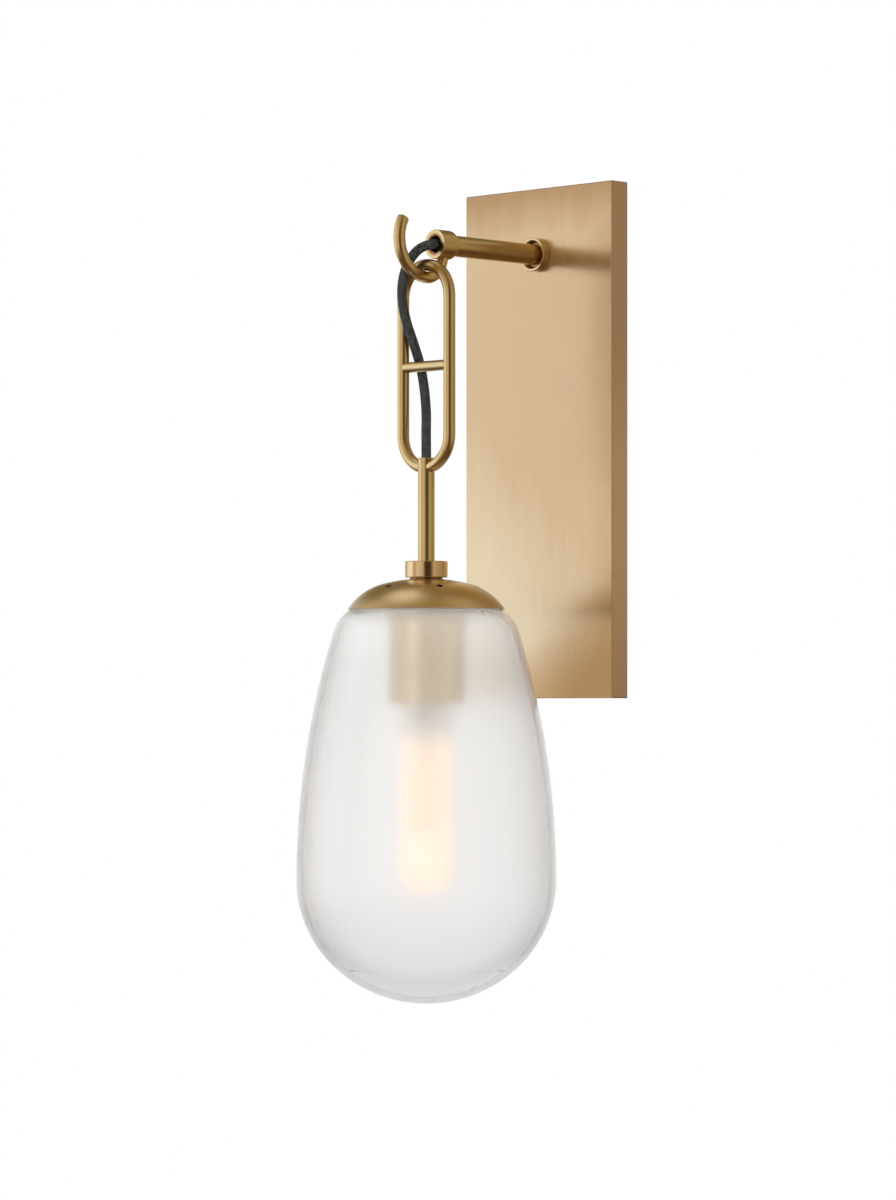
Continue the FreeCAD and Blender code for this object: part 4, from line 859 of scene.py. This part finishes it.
# name, azimuth, elevation, distance, width and height in metres, brightness
SOFTBOXES = [
    ("key_softbox", -40, 18, 1.9, 1.3, 2.0, 1.1),
    ("fill_softbox", 70, 10, 2.0, 1.2, 1.8, 0.45),
]

# What polished metal and glass reflect

CEILING = (0.33, 0.235, 0.12)
CEILING_BLEND = (0.45, 0.85)
FLOOR_SHADE = (0.11, 0.06, 0.03)
FLOOR_BLEND = (-0.15, -0.55)
# azimuth and colour, all round
RING = [
    (-180, (0.80, 0.80, 0.80)),
    (-158, (0.78, 0.78, 0.78)),
    (-146, (0.62, 0.60, 0.58)),
    (-133, (0.50, 0.45, 0.40)),
    (-122, (0.70, 0.60, 0.50)),
    (-114, (0.92, 0.88, 0.84)),
    (-101, (1.0, 1.0, 1.0)),
    (-84, (1.0, 1.0, 1.0)),
    (-79, (0.92, 0.86, 0.78)),
    (-74, (0.66, 0.52, 0.40)),
    (-69, (0.50, 0.38, 0.25)),
    (-62, (0.50, 0.38, 0.25)),
    (-56, (0.68, 0.55, 0.40)),
    (-48, (0.76, 0.64, 0.49)),
    (-40, (0.73, 0.60, 0.46)),
    (-29, (0.65, 0.50, 0.36)),
    (-13, (0.53, 0.40, 0.27)),
    (-10, (0.05, 0.03, 0.018)),
    (17, (0.05, 0.03, 0.018)),
    (25, (0.12, 0.07, 0.035)),
    (32, (0.30, 0.20, 0.10)),
    (39, (0.53, 0.43, 0.29)),
    (47, (0.53, 0.43, 0.29)),
    (60, (0.46, 0.36, 0.21)),
    (80, (0.39, 0.29, 0.15)),
    (97, (0.37, 0.27, 0.14)),
    (114, (0.28, 0.17, 0.06)),
    (140, (0.44, 0.38, 0.32)),
    (158, (0.75, 0.74, 0.73)),
    (180, (0.80, 0.80, 0.80)),
]
# azimuth, elevation, outer and inner radius in degrees, colour
SPOTS = [
    (170, 50, 46, 34, (0.20, 0.14, 0.07)),
    (180, -38, 34, 18, (0.70, 0.70, 0.70)),
    (-128, 71, 22, 6, (0.93, 0.88, 0.80)),
    (95, 55, 28, 5, (0.50, 0.39, 0.26)),
    (108, 38, 12, 4, (0.42, 0.31, 0.19)),
]


def seen_directly(shading):
    """1 for what the camera, a reflection or a view through glass shows, and 0 for light."""
    rays = shading.node("ShaderNodeLightPath").outputs
    seen = shading.math("MAXIMUM", rays["Is Camera Ray"], rays["Is Glossy Ray"])
    return shading.math("MAXIMUM", seen, rays["Is Transmission Ray"])


def make_world():
    """A grey sky for light that shows as white."""
    world = bpy.data.worlds.new("studio")
    bpy.context.scene.world = world
    sky = Nodes(world, "ShaderNodeOutputWorld")
    grey = sky.shader("ShaderNodeBackground", Color=WORLD_LIGHT)
    white = sky.shader("ShaderNodeBackground", Color=WHITE)
    sky.show(sky.mix_shaders(seen_directly(sky), grey, white))


def make_floor():
    """A pale disc under the light that fades to white at its edge."""
    turns = [2 * math.pi * step / FLOOR_STEPS for step in range(FLOOR_STEPS)]
    rim = [(FLOOR_RADIUS * math.cos(turn), FLOOR_RADIUS * math.sin(turn), FLOOR_LEVEL)
           for turn in turns]
    mesh = bpy.data.meshes.new("floor")
    mesh.from_pydata(rim, [], [tuple(range(FLOOR_STEPS))])
    finish = Finish("floor")
    distance = finish.vector("LENGTH", finish.vector("MULTIPLY", finish.place, (1.0, 1.0, 0.0)))
    fade = finish.span(distance, *FLOOR_FADE, FLOOR_PALENESS, 1.0)
    matte = finish.shader("ShaderNodeBsdfDiffuse", Color=FLOOR_COLOUR)
    white = finish.shader("ShaderNodeEmission", Color=WHITE)
    finish.show(finish.mix_shaders(finish.times(fade, seen_directly(finish)), matte, white))
    mesh.materials.append(finish.material)
    floor = link(bpy.data.objects.new("floor", mesh))
    floor.visible_glossy = False
    floor.visible_transmission = False


def direction(azimuth, elevation):
    """Azimuth in degrees from the camera's side, to its right, and elevation above level."""
    turn = math.radians(CAMERA_AZIMUTH + azimuth)
    rise = math.radians(elevation)
    level = math.cos(rise)
    return Vector((math.sin(turn) * level, -math.cos(turn) * level, math.sin(rise)))


def make_softbox(name, azimuth, elevation, distance, width, height, brightness):
    """A lamp that lights the object and isn't seen in its reflections."""
    data = bpy.data.lights.new(name, "AREA")
    data.shape = "RECTANGLE"
    data.size = width
    data.size_y = height
    data.energy = brightness * math.pi * width * height
    lamp = link(bpy.data.objects.new(name, data))
    towards = direction(azimuth, elevation)
    lamp.location = STUDIO_MIDDLE + towards * distance
    lamp.rotation_euler = towards.to_track_quat("Z", "Y").to_euler()
    lamp.visible_glossy = False


def colour_ramp(finish, share, stops):
    """Colours that blend from one stop to the next."""
    made = finish.node("ShaderNodeValToRGB")
    finish.put(share, made.inputs[0])
    elements = made.color_ramp.elements
    elements.remove(elements[1])
    for number, (position, colour) in enumerate(stops):
        element = elements[0] if number == 0 else elements.new(position)
        element.position = position
        element.color = (*colour, 1)
    return made.outputs[0]


def dome_colour(finish):
    """The ring, blended into the ceiling above it and the floor below it, with the spots."""
    towards = finish.vector("NORMALIZE", finish.place)
    x, y, z = finish.split(towards)
    turn = finish.math("DIVIDE", finish.math("ARCTAN2", x, finish.times(y, -1.0)), 2 * math.pi)
    around = finish.math("FRACT", finish.plus(turn, 0.5 - CAMERA_AZIMUTH / 360))
    colour = colour_ramp(finish, around, [(0.5 + azimuth / 360, shade) for azimuth, shade in RING])
    colour = finish.mix(finish.span(z, *CEILING_BLEND), colour, CEILING)
    colour = finish.mix(finish.span(z, *FLOOR_BLEND), colour, FLOOR_SHADE)
    for azimuth, elevation, outer, inner, shade in SPOTS:
        near = finish.vector("DOT_PRODUCT", towards, tuple(direction(azimuth, elevation)))
        share = finish.span(near, math.cos(math.radians(outer)), math.cos(math.radians(inner)))
        colour = finish.mix(share, colour, shade)
    return colour


def make_dome():
    """The surroundings that only reflections show. They light nothing."""
    mesh = bpy.data.meshes.new("reflected_dome")
    shell = bmesh.new()
    bmesh.ops.create_uvsphere(
        shell, u_segments=DOME_AROUND, v_segments=DOME_RINGS, radius=DOME_RADIUS)
    shell.to_mesh(mesh)
    shell.free()
    finish = Finish("reflected_dome")
    finish.show(finish.shader("ShaderNodeEmission", Color=dome_colour(finish)))
    finish.material.cycles.emission_sampling = "NONE"
    mesh.materials.append(finish.material)
    dome = link(bpy.data.objects.new("reflected_dome", mesh))
    dome.location = STUDIO_MIDDLE
    for other in ("camera", "diffuse", "transmission", "shadow"):
        setattr(dome, "visible_" + other, False)


def make_studio():
    make_world()
    make_floor()
    for softbox in SOFTBOXES:
        make_softbox(*softbox)
    make_dome()


make_camera()
make_cord()
finish_nodes()
make_studio()
bpy.context.scene.view_settings.view_transform = "Standard"
